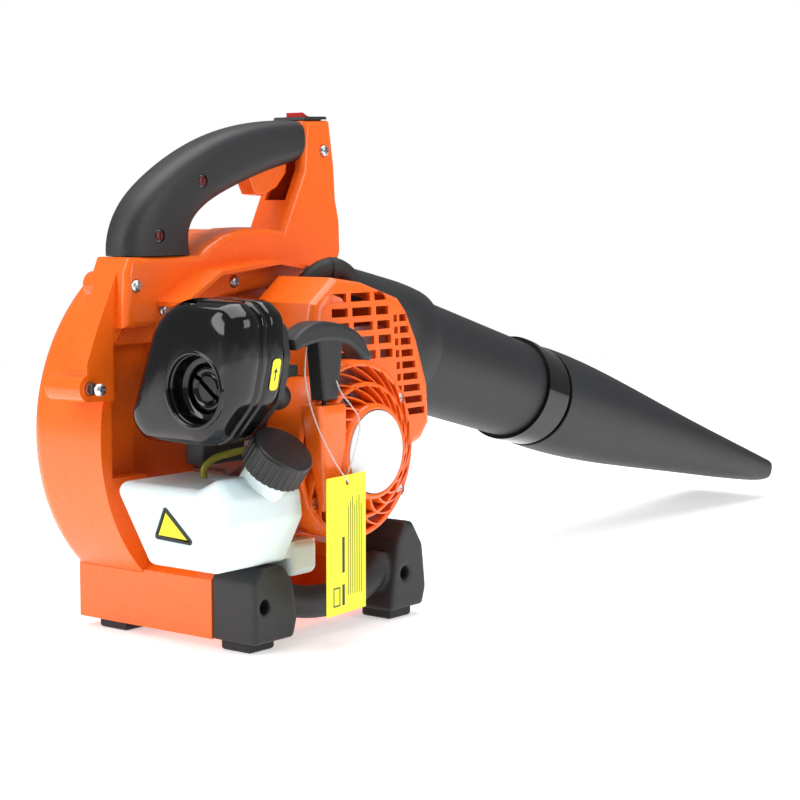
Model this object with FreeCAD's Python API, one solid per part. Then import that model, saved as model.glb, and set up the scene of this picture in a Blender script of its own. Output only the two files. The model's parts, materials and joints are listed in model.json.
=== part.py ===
import FreeCAD, Part
import math
import os

# Hand-held petrol leaf blower, millimetres, +X is the blow direction, +Y is its left side, +Z up.
# Everything is drawn on working axes with X = 0 on the crankshaft, Y = 0 beside the fan case and
# Z = 0 on the floor, then moved by FRAME_SHIFT so the origin is the middle of the underside.

V = FreeCAD.Vector
OUT = "parts"

# ---- driving dimensions -------------------------------------------------------------------------
FRAME_SHIFT = V(-299.0, 6.0, 0.0)
GAP = 0.3                 # running clearance between pieces that move past each other
WALL = 3.0                # moulded plastic wall

AXIS_Z = 129.0            # crankshaft, fan and starter height
SCROLL_R0 = 105.0         # fan case radius at the front
SCROLL_GROWTH = 6.0       # degrees of wrap for each millimetre of added radius
SCROLL_RIGHT = 22.0       # right and left faces of the fan case
SCROLL_LEFT = 96.0
SEAM_Y = 24.0             # where the two housing halves meet
BAY_R = 97.0              # round engine bay sunk into the fan case
BAY_FLOOR = 40.0
INLET_R = 56.0

TUBE_SLOPE = 15.4         # blow tube points down by this many degrees
TUBE_Y = 34.0
TUBE_X = 247.0            # one point on the tube's centre line
TUBE_Z = 168.0
TUBE_R = 45.0
TUBE_END_R = 41.0
SOCKET_X = 192.0          # end of the outlet socket
SOCKET_R = 48.3
TUBE_START_X = 170.0
COLLAR_X = 352.0
NOZZLE_X = 392.0
TIP_X = 753.0
TIP_HALF_W = 50.0
TIP_HALF_H = 13.0

GRIP_Y0 = 7.0
GRIP_Y1 = 41.0
POST_Y0 = 6.0
POST_Y1 = 42.0

BORE_R = 17.0             # 34 mm bore and 28 mm stroke, 25.4 cc
STROKE = 28.0
CASE_R = 34.0
ENGINE_Y = 4.0            # middle plane of the engine
SHAFT_R = 7.5
STARTER_R = 62.0
STARTER_FACE_Y = -90.0
HUB_FACE_Y = -106.0
PULLEY_R = 18.0

FOOT_H = 7.0


# ---- shape helpers ------------------------------------------------------------------------------
def box(x0, x1, y0, y1, z0, z1):
    return Part.makeBox(x1 - x0, y1 - y0, z1 - z0, V(x0, y0, z0))


def rod(radius, start, end):
    start = V(*start)
    span = V(*end) - start
    return Part.makeCylinder(radius, span.Length, start, span)


def cone(r0, r1, start, end):
    start = V(*start)
    span = V(*end) - start
    return Part.makeCone(r0, r1, span.Length, start, span)


def disc_y(radius, x, z, y0, y1):
    return rod(radius, (x, y0, z), (x, y1, z))


def ring_y(outer, inner, x, z, y0, y1):
    return disc_y(outer, x, z, y0, y1).cut(disc_y(inner, x, z, y0 - 1, y1 + 1))


def face_xz(points, y=0.0):
    return Part.Face(Part.makePolygon([V(x, y, z) for x, z in points + points[:1]]))


def prism_y(points, y0, y1):
    return face_xz(points, y0).extrude(V(0, y1 - y0, 0))


def prism_x(points, x0, x1):
    outline = [V(x0, y, z) for y, z in points + points[:1]]
    return Part.Face(Part.makePolygon(outline)).extrude(V(x1 - x0, 0, 0))


def inset_prism_y(points, y0, y1, inset):
    face = face_xz(points, y0).makeOffset2D(-inset, 2)
    return face.extrude(V(0, y1 - y0, 0))


def closed_curve(points):
    curve = Part.BSplineCurve()
    curve.interpolate(points, PeriodicFlag=True)
    return Part.Wire(curve.toShape())


def superellipse(centre, side, up, half_w, half_h, power):
    points = []
    for step in range(32):
        turn = math.radians(step * 11.25 + 5.0)
        c = math.cos(turn)
        s = math.sin(turn)
        across = half_w * math.copysign(abs(c) ** (2.0 / power), c)
        rise = half_h * math.copysign(abs(s) ** (2.0 / power), s)
        points.append(centre + side * across + up * rise)
    return closed_curve(points)


def fuse(shapes):
    shapes = list(shapes)
    return shapes[0].multiFuse(shapes[1:]).removeSplitter()


def rounded(shape, radius, wanted):
    """Round the edges for which wanted(edge) is true."""
    edges = [edge for edge in shape.Edges if wanted(edge)]
    return shape.makeFillet(radius, edges)


def on_y(level):
    def wanted(edge):
        return edge.BoundBox.YLength < 0.01 and abs(edge.BoundBox.YMin - level) < 0.01
    return wanted


def on_x(level):
    def wanted(edge):
        return edge.BoundBox.XLength < 0.01 and abs(edge.BoundBox.XMin - level) < 0.01
    return wanted


def along_x(edge):
    return edge.BoundBox.YLength < 0.01 and edge.BoundBox.ZLength < 0.01


def along_y(edge):
    return edge.BoundBox.XLength < 0.01 and edge.BoundBox.ZLength < 0.01


def group(shapes):
    return Part.makeCompound(list(shapes))


def write(name, shape):
    solids = shape.Solids
    moved = solids[0].copy() if len(solids) == 1 else group(solids)
    moved.translate(FRAME_SHIFT)
    moved.exportStep(os.path.join(OUT, name + ".step"))


def swept_cord(points, radius, name):
    """Cord of straight runs and tangent arcs; the arcs' radii are printed."""
    points = [V(*p) for p in points]
    edges = []
    radii = []
    here = points[0]
    for before, corner, after in zip(points, points[1:], points[2:]):
        run_in = corner - before
        run_out = after - corner
        half_turn = run_in.getAngle(run_out) / 2
        bend = 0.45 * min(run_in.Length, run_out.Length) / math.tan(half_turn)
        setback = bend * math.tan(half_turn)
        run_in.normalize()
        run_out.normalize()
        start = corner - run_in * setback
        end = corner + run_out * setback
        toward = (run_out - run_in).normalize()
        middle = corner + toward * (bend / math.cos(half_turn) - bend)
        edges.append(Part.LineSegment(here, start).toShape())
        edges.append(Part.Arc(start, middle, end).toShape())
        radii.append(round(bend, 3))
        here = end
    edges.append(Part.LineSegment(here, points[-1]).toShape())
    print(name, "bend radii", radii)
    path = Part.Wire(edges)
    first = (points[1] - points[0]).normalize()
    ring = Part.Wire(Part.makeCircle(radius, points[0], first))
    return path.makePipeShell([ring], True, True)


# ---- fan case and handle housing ----------------------------------------------------------------
def scroll_radius(angle):
    return SCROLL_R0 + (360.0 - angle) / SCROLL_GROWTH


def scroll_body(inset):
    """Snail outline: it widens clockwise, seen from the right, from the tongue to the top."""
    points = []
    for step in range(20):
        angle = 375.0 - 15.0 * step
        radius = scroll_radius(angle) - inset
        turn = math.radians(angle)
        x = radius * math.cos(turn)
        z = AXIS_Z + radius * math.sin(turn)
        points.append(V(x, SCROLL_RIGHT + inset, z))
    curve = Part.BSplineCurve()
    curve.interpolate(points)
    top = V(100.0, SCROLL_RIGHT + inset, 254.0 - inset)
    edges = [curve.toShape()]
    edges.append(Part.makeLine(points[-1], top))
    edges.append(Part.makeLine(top, points[0]))
    face = Part.Face(Part.Wire(edges))
    depth = SCROLL_LEFT - SCROLL_RIGHT - 2 * inset
    body = face.extrude(V(0, depth, 0))
    return rounded(body, 16.0 - inset, on_y(SCROLL_LEFT - inset))


def tube_centre(x):
    return V(x, TUBE_Y, TUBE_Z - (x - TUBE_X) * math.tan(math.radians(TUBE_SLOPE)))


def section(centre, half_w, half_h, power):
    """Closed outline across the duct: power 2 is an ellipse and a larger power is squarer."""
    slope = math.radians(TUBE_SLOPE)
    return superellipse(centre, V(0, 1, 0), V(math.sin(slope), 0, math.cos(slope)), half_w, half_h, power)


def outlet_duct(inset):
    """Duct from the fan case, easing from a soft rectangle to the round tube socket."""
    near = tube_centre(62.0)
    near.y = (SCROLL_LEFT + SCROLL_RIGHT) / 2
    half_w = (SCROLL_LEFT - SCROLL_RIGHT) / 2
    reach = 1.0 if inset else 0.0
    middle = tube_centre(125.0)
    middle.y = 48.0
    start = tube_centre(TUBE_START_X - 6.0)
    end = tube_centre(SOCKET_X + reach)
    sections = [section(near, half_w - inset, 46.5 - inset, 5.0)]
    sections.append(section(middle, 45.0 - inset, 47.5 - inset, 3.0))
    sections.append(section(start, SOCKET_R - inset, SOCKET_R - inset, 2.0))
    sections.append(section(end, SOCKET_R - inset, SOCKET_R - inset, 2.0))
    return Part.makeLoft(sections, True)


def handle_outline():
    """Side view of the handle's footing, the hump and the front post."""
    return [(-124, 252), (-119.5, 262), (-54, 262), (-46, 268), (-30, 276), (-8, 280), (14, 280.5), (32, 278),
            (38, 290), (46, 306), (54, 322), (57.5, 357.5), (85.5, 358.5), (91, 326), (93, 300), (97, 285), (98, 262),
            (92, 246), (80, 228), (20, 238), (-30, 232), (-60, 222), (-88, 215), (-126, 215)]


def rim_strip():
    """Raised flange down the rear rim, from the handle's root to the lower boss."""
    outline = [(-119.5, 262), (-124, 252), (-142, 216), (-152, 192), (-152, 172), (-128, 166), (-128, 200),
               (-118, 218)]
    return prism_y(outline, 16.0, 34.0)


def screw_bosses():
    """Round bosses on the rear rim that the long housing screws run through."""
    upper = disc_y(9.0, -116.0, 243.0, 16.0, 48.0)
    lower = disc_y(9.0, -150.0, 176.0, 16.0, 50.0)
    strap_upper = box(-122.0, -104.0, 16.0, 48.0, 225.0, 243.0)
    strap_lower = box(-150.0, -128.0, 16.0, 50.0, 167.0, 185.0)
    return [upper, lower, strap_upper, strap_lower]


def bay_solids():
    """Engine bay sunk into the fan case: round around the engine, square behind the tank."""
    outer = disc_y(BAY_R, 0, AXIS_Z, 10.0, BAY_FLOOR + WALL)
    outer = outer.fuse(box(-128, -60, 10, 37, 110, 206))
    inner = disc_y(BAY_R - WALL, 0, AXIS_Z, 0.0, BAY_FLOOR)
    inner = inner.fuse(box(-125, -60, 0, 34, 113, 203))
    return outer, inner


def housing_halves():
    scroll_outer = scroll_body(0.0)
    duct_outer = outlet_duct(0.0)
    handle = prism_y(handle_outline(), POST_Y0, POST_Y1)
    handle = rounded(handle, 5.0, lambda edge: on_y(POST_Y0)(edge) or on_y(POST_Y1)(edge))
    outer = fuse([scroll_outer, duct_outer, handle, rim_strip()] + screw_bosses() + guard_lugs())
    air = scroll_body(WALL).fuse(outlet_duct(WALL))
    hollow = inset_prism_y(handle_outline(), POST_Y0 + WALL, POST_Y1 - WALL, WALL)
    hollow = hollow.cut(scroll_outer).cut(duct_outer)
    shell = outer.cut(air).cut(hollow)
    bay_outer, bay_inner = bay_solids()
    right = shell.common(box(-250, 400, -100, SEAM_Y, 0, 400)).cut(bay_outer)
    left = shell.common(box(-250, 400, SEAM_Y, 200, 0, 400)).cut(bay_outer)
    tub = bay_outer.cut(bay_inner).cut(box(-250, 400, -100, SCROLL_RIGHT, 0, 400))
    tub = tub.cut(disc_y(17.0, 0, AXIS_Z, 30, 50))
    roof = prism_y([(-96, 232), (-60, 252), (0, 258), (60, 249), (76, 243), (76, 240), (60, 246),
                    (0, 255), (-60, 249), (-96, 229)], -20.0, SCROLL_RIGHT + 1)
    roof = roof.cut(handle).cut(duct_outer).cut(spark_keepout())
    grip = grip_solid(0.0)
    seat = cone(TUBE_R + 0.05, TUBE_END_R + 0.05, tube_axis_point(TUBE_START_X), tube_axis_point(398.0))
    right = right.cut(grip).fuse(roof).fuse(tub).cut(seat)
    left = left.cut(grip).cut(seat)
    for x, z in HOUSING_SCREWS:
        hole = disc_y(2.3, x, z, 0, 60)
        head = disc_y(4.6, x, z, 0, 17.5)
        right = right.cut(hole).cut(head)
        left = left.cut(hole)
    left = left.cut(disc_y(INLET_R, 0, AXIS_Z, 60, 110))
    pocket = box(42, 62, 14, 34, 300, 347)
    switch_well = box(61.7, 81.5, 11.7, 36.3, 345, 370)
    left = left.cut(pocket).cut(switch_well)
    right = right.cut(pocket).cut(switch_well)
    return left, right


HOUSING_SCREWS = [(-116.0, 243.0), (-150.0, 176.0), (-90.0, 226.0), (-21.0, 243.0), (77.0, 336.0)]


def case_screws():
    """Screws of the housing, the grip and the base."""
    screws = base_screws() + grip_screws()
    for x, z in HOUSING_SCREWS:
        shank = disc_y(2.1, x, z, 17.0, 40.0)
        head = disc_y(4.2, x, z, 14.0, 17.5)
        slot = box(x - 3.5, x + 3.5, 13.0, 15.0, z - 0.6, z + 0.6)
        cross = box(x - 0.6, x + 0.6, 13.0, 15.0, z - 3.5, z + 3.5)
        screws.append(head.fuse(shank).cut(slot).cut(cross))
    return group(screws)


# ---- intake guard on the left face --------------------------------------------------------------
GUARD_Y0 = SCROLL_LEFT + 0.5
GUARD_Y1 = SCROLL_LEFT + 6.5
GUARD_R = 66.0
GUARD_HINGE_X = -72.0
GUARD_KNOB_X = 75.0


def intake_guard():
    guard = ring_y(GUARD_R, 58.0, 0, AXIS_Z, GUARD_Y0, GUARD_Y1)
    for radius in (14.0, 25.0, 36.0, 47.0):
        guard = guard.fuse(ring_y(radius + 1.5, radius - 1.5, 0, AXIS_Z, GUARD_Y0 + 1, GUARD_Y1))
    for step in range(6):
        bar = box(0, 62.0, GUARD_Y0 + 1, GUARD_Y1, AXIS_Z - 1.5, AXIS_Z + 1.5)
        bar.rotate(V(0, 0, AXIS_Z), V(0, 1, 0), step * 60.0 + 15)
        guard = guard.fuse(bar)
    guard = guard.fuse(disc_y(14.0, 0, AXIS_Z, GUARD_Y0 + 1, GUARD_Y1))
    ear = box(GUARD_HINGE_X, -58, GUARD_Y0, GUARD_Y1, AXIS_Z - 12, AXIS_Z + 12)
    eye = rod(4.2, (GUARD_HINGE_X, GUARD_Y0 + 4, AXIS_Z - 12), (GUARD_HINGE_X, GUARD_Y0 + 4, AXIS_Z + 12))
    tab = box(60, 84, GUARD_Y0, GUARD_Y1 - 2, AXIS_Z - 9, AXIS_Z + 9)
    pin_hole = rod(1.55, (GUARD_HINGE_X, GUARD_Y0 + 4, AXIS_Z - 30), (GUARD_HINGE_X, GUARD_Y0 + 4, AXIS_Z + 30))
    guard = fuse([guard, ear, eye, tab]).cut(pin_hole)
    return guard.cut(disc_y(3.2, GUARD_KNOB_X, AXIS_Z, GUARD_Y0 - 5, GUARD_Y1 + 5))


def guard_pin():
    y = GUARD_Y0 + 4
    return rod(1.5, (GUARD_HINGE_X, y, AXIS_Z - 20), (GUARD_HINGE_X, y, AXIS_Z + 20))


def guard_lugs():
    """Two hinge lugs on the fan case that hold the guard's pin."""
    y = GUARD_Y0 + 4
    lugs = []
    for z in (AXIS_Z - 20, AXIS_Z + 13):
        eye = rod(4.5, (GUARD_HINGE_X, y, z), (GUARD_HINGE_X, y, z + 7))
        leg = box(GUARD_HINGE_X - 4.5, GUARD_HINGE_X + 4.5, SCROLL_LEFT - 2.5, y, z, z + 7)
        hole = rod(1.5, (GUARD_HINGE_X, y, z - 1), (GUARD_HINGE_X, y, z + 8))
        lugs.append(eye.fuse(leg).cut(hole))
    return lugs


def guard_knob():
    """Quarter-turn knob that latches the guard; it stays on the guard's tab."""
    x = GUARD_KNOB_X
    head = disc_y(7.0, x, AXIS_Z, GUARD_Y1 - 1.7, GUARD_Y1 + 3)
    shank = disc_y(3.1, x, AXIS_Z, SCROLL_LEFT + 0.5, GUARD_Y1)
    slot = box(x - 8, x + 8, GUARD_Y1 + 1.5, GUARD_Y1 + 4, AXIS_Z - 1, AXIS_Z + 1)
    return head.fuse(shank).cut(slot)


# ---- fan, crankshaft and engine -----------------------------------------------------------------
def impeller():
    plate = disc_y(86.0, 0, AXIS_Z, 47, 50)
    hub = disc_y(15.0, 0, AXIS_Z, 45, 66)
    blades = []
    for step in range(12):
        arc = Part.makeCylinder(52.0, 36.0, V(62.0, 50, AXIS_Z + 40), V(0, 1, 0))
        arc = arc.cut(Part.makeCylinder(50.0, 38.0, V(62.0, 49, AXIS_Z + 40), V(0, 1, 0)))
        band = ring_y(85.0, 40.0, 0, AXIS_Z, 50, 86)
        blade = arc.common(band).common(box(-10, 90, 49, 87, AXIS_Z - 40, AXIS_Z + 36))
        blade.rotate(V(0, 0, AXIS_Z), V(0, 1, 0), step * 30.0)
        blades.append(blade)
    fan = fuse([plate, hub] + blades)
    return fan.cut(disc_y(SHAFT_R, 0, AXIS_Z, 40, 60)).cut(disc_y(5.0, 0, AXIS_Z, 40, 70))


def hex_nut(across, hole, y0, y1):
    points = []
    for step in range(6):
        turn = math.radians(60 * step)
        points.append((across * math.cos(turn), AXIS_Z + across * math.sin(turn)))
    return prism_y(points, y0, y1).cut(disc_y(hole, 0, AXIS_Z, y0 - 1, y1 + 1))


def shaft_nuts():
    return group([hex_nut(8.0, 5.0, 66.0, 72.0), hex_nut(12.0, SHAFT_R, -60.0, -54.0)])


def crankshaft():
    """Two shafts with full webs; the crank pin between them is its own piece."""
    fan_side = disc_y(SHAFT_R, 0, AXIS_Z, 16, 60).fuse(disc_y(5.0, 0, AXIS_Z, 60, 75))
    fan_side = fan_side.fuse(disc_y(26.0, 0, AXIS_Z, 10, 16))
    starter_side = disc_y(SHAFT_R, 0, AXIS_Z, -61, -8).fuse(disc_y(26.0, 0, AXIS_Z, -8, -2))
    return group([fan_side, starter_side])


def crank_pin():
    return disc_y(5.0, 0, AXIS_Z + STROKE / 2, -2 + GAP, 10 - GAP)


def connecting_rod():
    low = AXIS_Z + STROKE / 2
    high = low + 57.0
    big = ring_y(9.5, 5.0, 0, low, 0, 8)
    small = ring_y(6.5, 4.0, 0, high, 0, 8)
    shank = box(-3.5, 3.5, 1.5, 6.5, low + 8.5, high - 5.5)
    return fuse([big, small, shank])


def wrist_pin():
    z = AXIS_Z + STROKE / 2 + 57.0
    return disc_y(4.0, 0, z, ENGINE_Y - 13, ENGINE_Y + 13)


def piston():
    z = AXIS_Z + STROKE / 2 + 57.0
    body = rod(BORE_R - 0.05, (0, ENGINE_Y, z - 10), (0, ENGINE_Y, z + 14))
    body = body.cut(rod(13.5, (0, ENGINE_Y, z - 11), (0, ENGINE_Y, z + 10)))
    bosses = disc_y(7.0, 0, z, ENGINE_Y - 14, ENGINE_Y - 5)
    bosses = bosses.fuse(disc_y(7.0, 0, z, ENGINE_Y + 5, ENGINE_Y + 14))
    bore = rod(BORE_R - 0.05, (0, ENGINE_Y, z - 20), (0, ENGINE_Y, z + 14))
    body = body.fuse(bosses.common(bore)).cut(disc_y(4.0, 0, z, ENGINE_Y - 13, ENGINE_Y + 13))
    for level in (7.0, 10.0):
        groove = rod(BORE_R + 1, (0, ENGINE_Y, z + level), (0, ENGINE_Y, z + level + 1.2))
        groove = groove.cut(rod(BORE_R - 1.5, (0, ENGINE_Y, z + level - 1), (0, ENGINE_Y, z + level + 3)))
        body = body.cut(groove)
    return body


def main_bearings():
    pair = []
    for y in (-29.0, 29.0):
        pair.append(ring_y(15.0, SHAFT_R + 0.02, 0, AXIS_Z, y, y + 8))
    return group(pair)


def crankcase():
    body = disc_y(CASE_R, 0, AXIS_Z, -31, 39)
    body = body.fuse(box(-26, 26, ENGINE_Y - 24, ENGINE_Y + 24, AXIS_Z, AXIS_Z + 36))
    body = body.fuse(box(-30, 30, 10, 39, AXIS_Z - 38, AXIS_Z - 20))
    body = body.cut(disc_y(28.0, 0, AXIS_Z, -25, 28))
    body = body.cut(rod(BORE_R, (0, ENGINE_Y, AXIS_Z + 10), (0, ENGINE_Y, AXIS_Z + 40)))
    body = body.cut(disc_y(15.0, 0, AXIS_Z, -29, -20)).cut(disc_y(15.0, 0, AXIS_Z, 27, 37))
    body = body.cut(disc_y(SHAFT_R + 1.0, 0, AXIS_Z, -40, 50))
    left = body.common(box(-60, 60, ENGINE_Y, 60, 60, 200))
    right = body.common(box(-60, 60, -60, ENGINE_Y, 60, 200))
    return left, right


def cylinder():
    base = AXIS_Z + 36.0
    core = rod(22.0, (0, ENGINE_Y, base), (0, ENGINE_Y, base + 54))
    flange = box(-25, 25, ENGINE_Y - 23, ENGINE_Y + 23, base, base + 5)
    fins = []
    for step in range(7):
        z = base + 12.0 + 6.5 * step
        fins.append(box(-25, 25, ENGINE_Y - 30, ENGINE_Y + 16, z, z + 2))
    ports = box(-27, 31, ENGINE_Y - 11, ENGINE_Y + 11, base + 14, base + 36)
    body = fuse([core, flange, ports] + fins)
    body = body.cut(rod(BORE_R, (0, ENGINE_Y, base - 1), (0, ENGINE_Y, base + 51)))
    for x0, x1 in ((-40, -10), (10, 40)):
        body = body.cut(rod(6.5, (x0, ENGINE_Y, base + 25), (x1, ENGINE_Y, base + 25)))
    return body.cut(rod(4.9, PLUG_BASE, PLUG_TOP))


PRIMER_X = -72.0
PRIMER_Z = 171.0
PLUG_BASE = (8.0, -6.0, 214.0)
PLUG_TOP = (31.0, -25.0, 245.0)
BOOT_END = (69.0, -39.0, 246.0)


def on_plug(share):
    base = V(*PLUG_BASE)
    span = V(*PLUG_TOP) - base
    return tuple(base + span * share)


def spark_plug():
    thread = rod(4.9, on_plug(0.0), on_plug(0.42))
    hexagon = rod(8.0, on_plug(0.42), on_plug(0.6))
    insulator = rod(4.0, on_plug(0.6), on_plug(1.0))
    body = fuse([thread, hexagon, insulator])
    head = rod(22.0, (0, ENGINE_Y, 160), (0, ENGINE_Y, 219)).fuse(box(-26, 26, -27, 21, 160, 219))
    thread_hole = rod(4.9, PLUG_BASE, PLUG_TOP)
    return body.cut(head.cut(thread_hole)).cut(box(-30, 40, -40, 30, 200, 216.3))


def spark_plug_boot():
    top = on_plug(1.05)
    sleeve = rod(9.0, on_plug(0.66), top)
    arm = rod(8.5, top, BOOT_END)
    joint = Part.makeSphere(9.5, V(*top))
    nose = Part.makeSphere(8.5, V(*BOOT_END))
    boot = fuse([sleeve, joint, arm, nose])
    return boot.cut(rod(4.0, PLUG_BASE, on_plug(1.0)))


def muffler():
    body = rounded(box(36, 78, -52, 12, 152, 210), 8.0, along_y)
    hollow = rounded(box(38, 76, -50, 10, 154, 208), 6.0, along_y)
    neck = rod(9.0, (31.0, ENGINE_Y, 190), (37, ENGINE_Y, 190))
    outlet = rod(6.0, (77, -35, 165), (88, -35, 162))
    body = fuse([body.cut(hollow), outlet, neck]).cut(rod(6.5, (30.0, ENGINE_Y, 190), (39, ENGINE_Y, 190)))
    return body.cut(rod(4.5, (75, -35, 165), (92, -35, 161)))


def carb_insulator():
    block = box(-42, -27.2, ENGINE_Y - 12, ENGINE_Y + 12, 178, 202)
    return block.cut(rod(6.5, (-45, ENGINE_Y, 190), (-20, ENGINE_Y, 190)))


def carburettor():
    body = box(-74, -42.2, -20, 22, 172, 208)
    body = rounded(body, 3.0, along_x)
    bowl = rod(13.0, (-58, 1, 160), (-58, 1, 172))
    body = body.fuse(bowl)
    arm = box(-78, -56, -60, -19, 166, 178)
    ears = box(-79, -75.3, -66, -50, 178, 192).fuse(box(-64.7, -61, -66, -50, 178, 192))
    pin = rod(2.0, (-77, -62, 188), (-63, -62, 188))
    cup = disc_y(11.5, PRIMER_X, PRIMER_Z, -73.7, -59)
    body = fuse([body, arm, ears, pin, cup])
    body = body.cut(disc_y(6.0, PRIMER_X, PRIMER_Z, -75, -65))
    return body.cut(rod(6.5, (-80, ENGINE_Y, 190), (-40, ENGINE_Y, 190)))


def choke_lever():
    """Finger lever that tips up and down on a pin across the machine's length."""
    hub = rod(4.5, (-75, -62, 188), (-65, -62, 188))
    arm = box(-73, -67, -84, -62, 185.5, 190.5)
    tip = rounded(box(-77, -63, -90, -82, 184, 192), 2.0, along_x)
    return fuse([hub, arm, tip]).cut(rod(2.06, (-80, -62, 188), (-60, -62, 188)))


def primer_bulb():
    base = disc_y(9.0, PRIMER_X, PRIMER_Z, -80.0, -78.0)
    stem = disc_y(5.5, PRIMER_X, PRIMER_Z, -78.0, -72.0)
    dome = Part.makeSphere(9.0, V(PRIMER_X, -80, PRIMER_Z))
    dome = dome.common(box(-90, -40, -90, -80, 150, 190))
    return fuse([base, stem, dome])


# ---- air filter ---------------------------------------------------------------------------------
FILTER_REAR = -137.0
FILTER_FRONT = -92.0
KNOB_YZ = (-66.0, 179.0)


def filter_outline():
    return [(-36, 231), (-84, 229), (-101, 219), (-104, 200), (-98, 171), (-75, 148), (-68, 142), (-12, 142),
            (0, 152)]


def filter_cover():
    body = prism_x(filter_outline(), FILTER_REAR, FILTER_FRONT)
    body = rounded(body, 7.0, along_x)
    body = rounded(body, 9.0, on_x(FILTER_REAR))
    hollow = Part.Face(Part.makePolygon([V(FILTER_REAR + 3, y, z) for y, z in filter_outline() + filter_outline()[:1]]))
    hollow = hollow.makeOffset2D(-4.0, 2).extrude(V(60, 0, 0))
    y, z = KNOB_YZ
    well = rod(26.0, (FILTER_REAR + 3, y, z), (FILTER_REAR + 28, y, z))
    mouth = cone(24.5, 21.0, (FILTER_REAR - 1, y, z), (FILTER_REAR + 25, y, z))
    hole = rod(5.0, (FILTER_REAR, y, z), (FILTER_REAR + 40, y, z))
    body = body.cut(hollow.cut(well)).cut(mouth).cut(hole)
    notch = box(-134, -108, -66, -52, 224, 232)
    notch_floor = box(-134, -108, -66, -52, 224, 226.5)
    return body.cut(notch).fuse(notch_floor).removeSplitter()


def filter_knob():
    y, z = KNOB_YZ
    cup = rod(15.0, (FILTER_REAR + 14, y, z), (FILTER_REAR + 24.5, y, z))
    slot = box(FILTER_REAR + 13, FILTER_REAR + 18, y - 14, y + 14, z - 2, z + 2)
    slot.rotate(V(0, y, z), V(1, 0, 0), 35)
    shaft = rod(4.7, (FILTER_REAR + 24, y, z), (-89.0, y, z))
    tip = rod(2.5, (-89.0, y, z), (-84.5, y, z))
    return fuse([cup.cut(slot), shaft, tip])


def filter_foam():
    face = Part.Face(Part.makePolygon([V(-108, y, z) for y, z in filter_outline() + filter_outline()[:1]]))
    pad = face.makeOffset2D(-4.5, 2).extrude(V(15, 0, 0))
    y, z = KNOB_YZ
    pad = pad.cut(rod(26.5, (-110, y, z), (-90, y, z)))
    return max(pad.Solids, key=lambda solid: solid.Volume)


def filter_base():
    plate = prism_x(filter_outline(), FILTER_FRONT + GAP, -86.0)
    plate = rounded(plate, 7.0, along_x)
    collar = rod(12.0, (-86.0, ENGINE_Y, 190), (-74.2, ENGINE_Y, 190))
    bridge = box(-86, -82, -30, 10, 180, 200)
    y, z = KNOB_YZ
    plate = fuse([plate, bridge, collar])
    boss = rod(7.0, (-86.5, y, z), (-84, y, z))
    plate = plate.fuse(boss)
    plate = plate.cut(rod(6.5, (-90, ENGINE_Y, 190), (-70, ENGINE_Y, 190)))
    plate = plate.cut(rod(5.2, (-95, y, z), (-88.7, y, z))).cut(rod(2.8, (-95, y, z), (-82, y, z)))
    return plate.removeSplitter()


# ---- engine cover, muffler shroud ---------------------------------------------------------------
def cover_outline():
    return [(-34, 198), (-27, 230), (-4, 247), (26, 243), (66, 231), (75, 222), (87, 201), (100, 167),
            (102, 138), (92, 126), (60, 116)]


COVER_RIGHT = -76.0


def cover_slots():
    """Cooling slots: a slanted field over the engine, and a tall column at the front corner."""
    slots = []
    for row in range(5):
        z = 236.0 - 10.2 * row
        for x0, x1 in ((-13, 4), (9, 30), (35, 49)):
            lean = 1.6 * row
            slots.append(box(x0 + lean, x1 + lean, COVER_RIGHT - 1, COVER_RIGHT + 9, z - 6, z))
    for row in range(9):
        z = 219.0 - 8.5 * row
        x0 = 63.0 + 0.9 * row
        x1 = 71.0 + 2.7 * row
        slots.append(box(x0, x1, COVER_RIGHT - 1, COVER_RIGHT + 14, z - 5, z))
        slots.append(box(x0 - 6.5, x0 - 2.5, COVER_RIGHT - 1, COVER_RIGHT + 9, z - 5, z))
    return slots


def engine_cover():
    body = prism_y(cover_outline() + [(40, 100), (0, 100), (-34, 120)], COVER_RIGHT, -21.0)
    corner = rounded(body, 8.0, on_y(COVER_RIGHT))
    inner = inset_prism_y(cover_outline() + [(40, 100), (0, 100), (-34, 120)], COVER_RIGHT + 2.5, 0.0, 2.5)
    shell = corner.cut(inner)
    front_wall = prism_y([(75, 222), (87, 201), (100, 167), (102, 138), (92, 126), (90, 128), (99.4, 139),
                          (97.4, 166), (84.6, 200), (73, 220)], -21.0, 18.0)
    front_wall = front_wall.cut(outlet_duct(-0.4))
    shell = shell.fuse(front_wall)
    shell = shell.cut(disc_y(STARTER_R + 0.6, 0, AXIS_Z, -120, -20))
    shell = shell.cut(box(-60, 60, -120, 20, 60, 120))
    for slot in cover_slots():
        shell = shell.cut(slot)
    keep = spark_keepout()
    return shell.cut(keep).removeSplitter()


def spark_keepout():
    arm = rod(10.5, on_plug(0.4), on_plug(1.1))
    elbow = Part.makeSphere(10.5, V(*on_plug(1.05)))
    return fuse([arm, elbow, rod(10.5, on_plug(1.05), (72.0, -40.0, 246.0))])


# ---- flywheel, ignition and recoil starter ------------------------------------------------------
def flywheel():
    wheel = disc_y(42.0, 0, AXIS_Z, -52, -40).cut(disc_y(34.0, 0, AXIS_Z, -53, -44))
    wheel = wheel.fuse(disc_y(14.0, 0, AXIS_Z, -54, -36))
    vanes = []
    for step in range(12):
        vane = box(17, 33, -50, -43, AXIS_Z - 1, AXIS_Z + 1)
        vane.rotate(V(0, 0, AXIS_Z), V(0, 1, 0), 30 * step)
        vanes.append(vane)
    wheel = fuse([wheel] + vanes)
    return wheel.cut(disc_y(SHAFT_R, 0, AXIS_Z, -60, -30))


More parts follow.
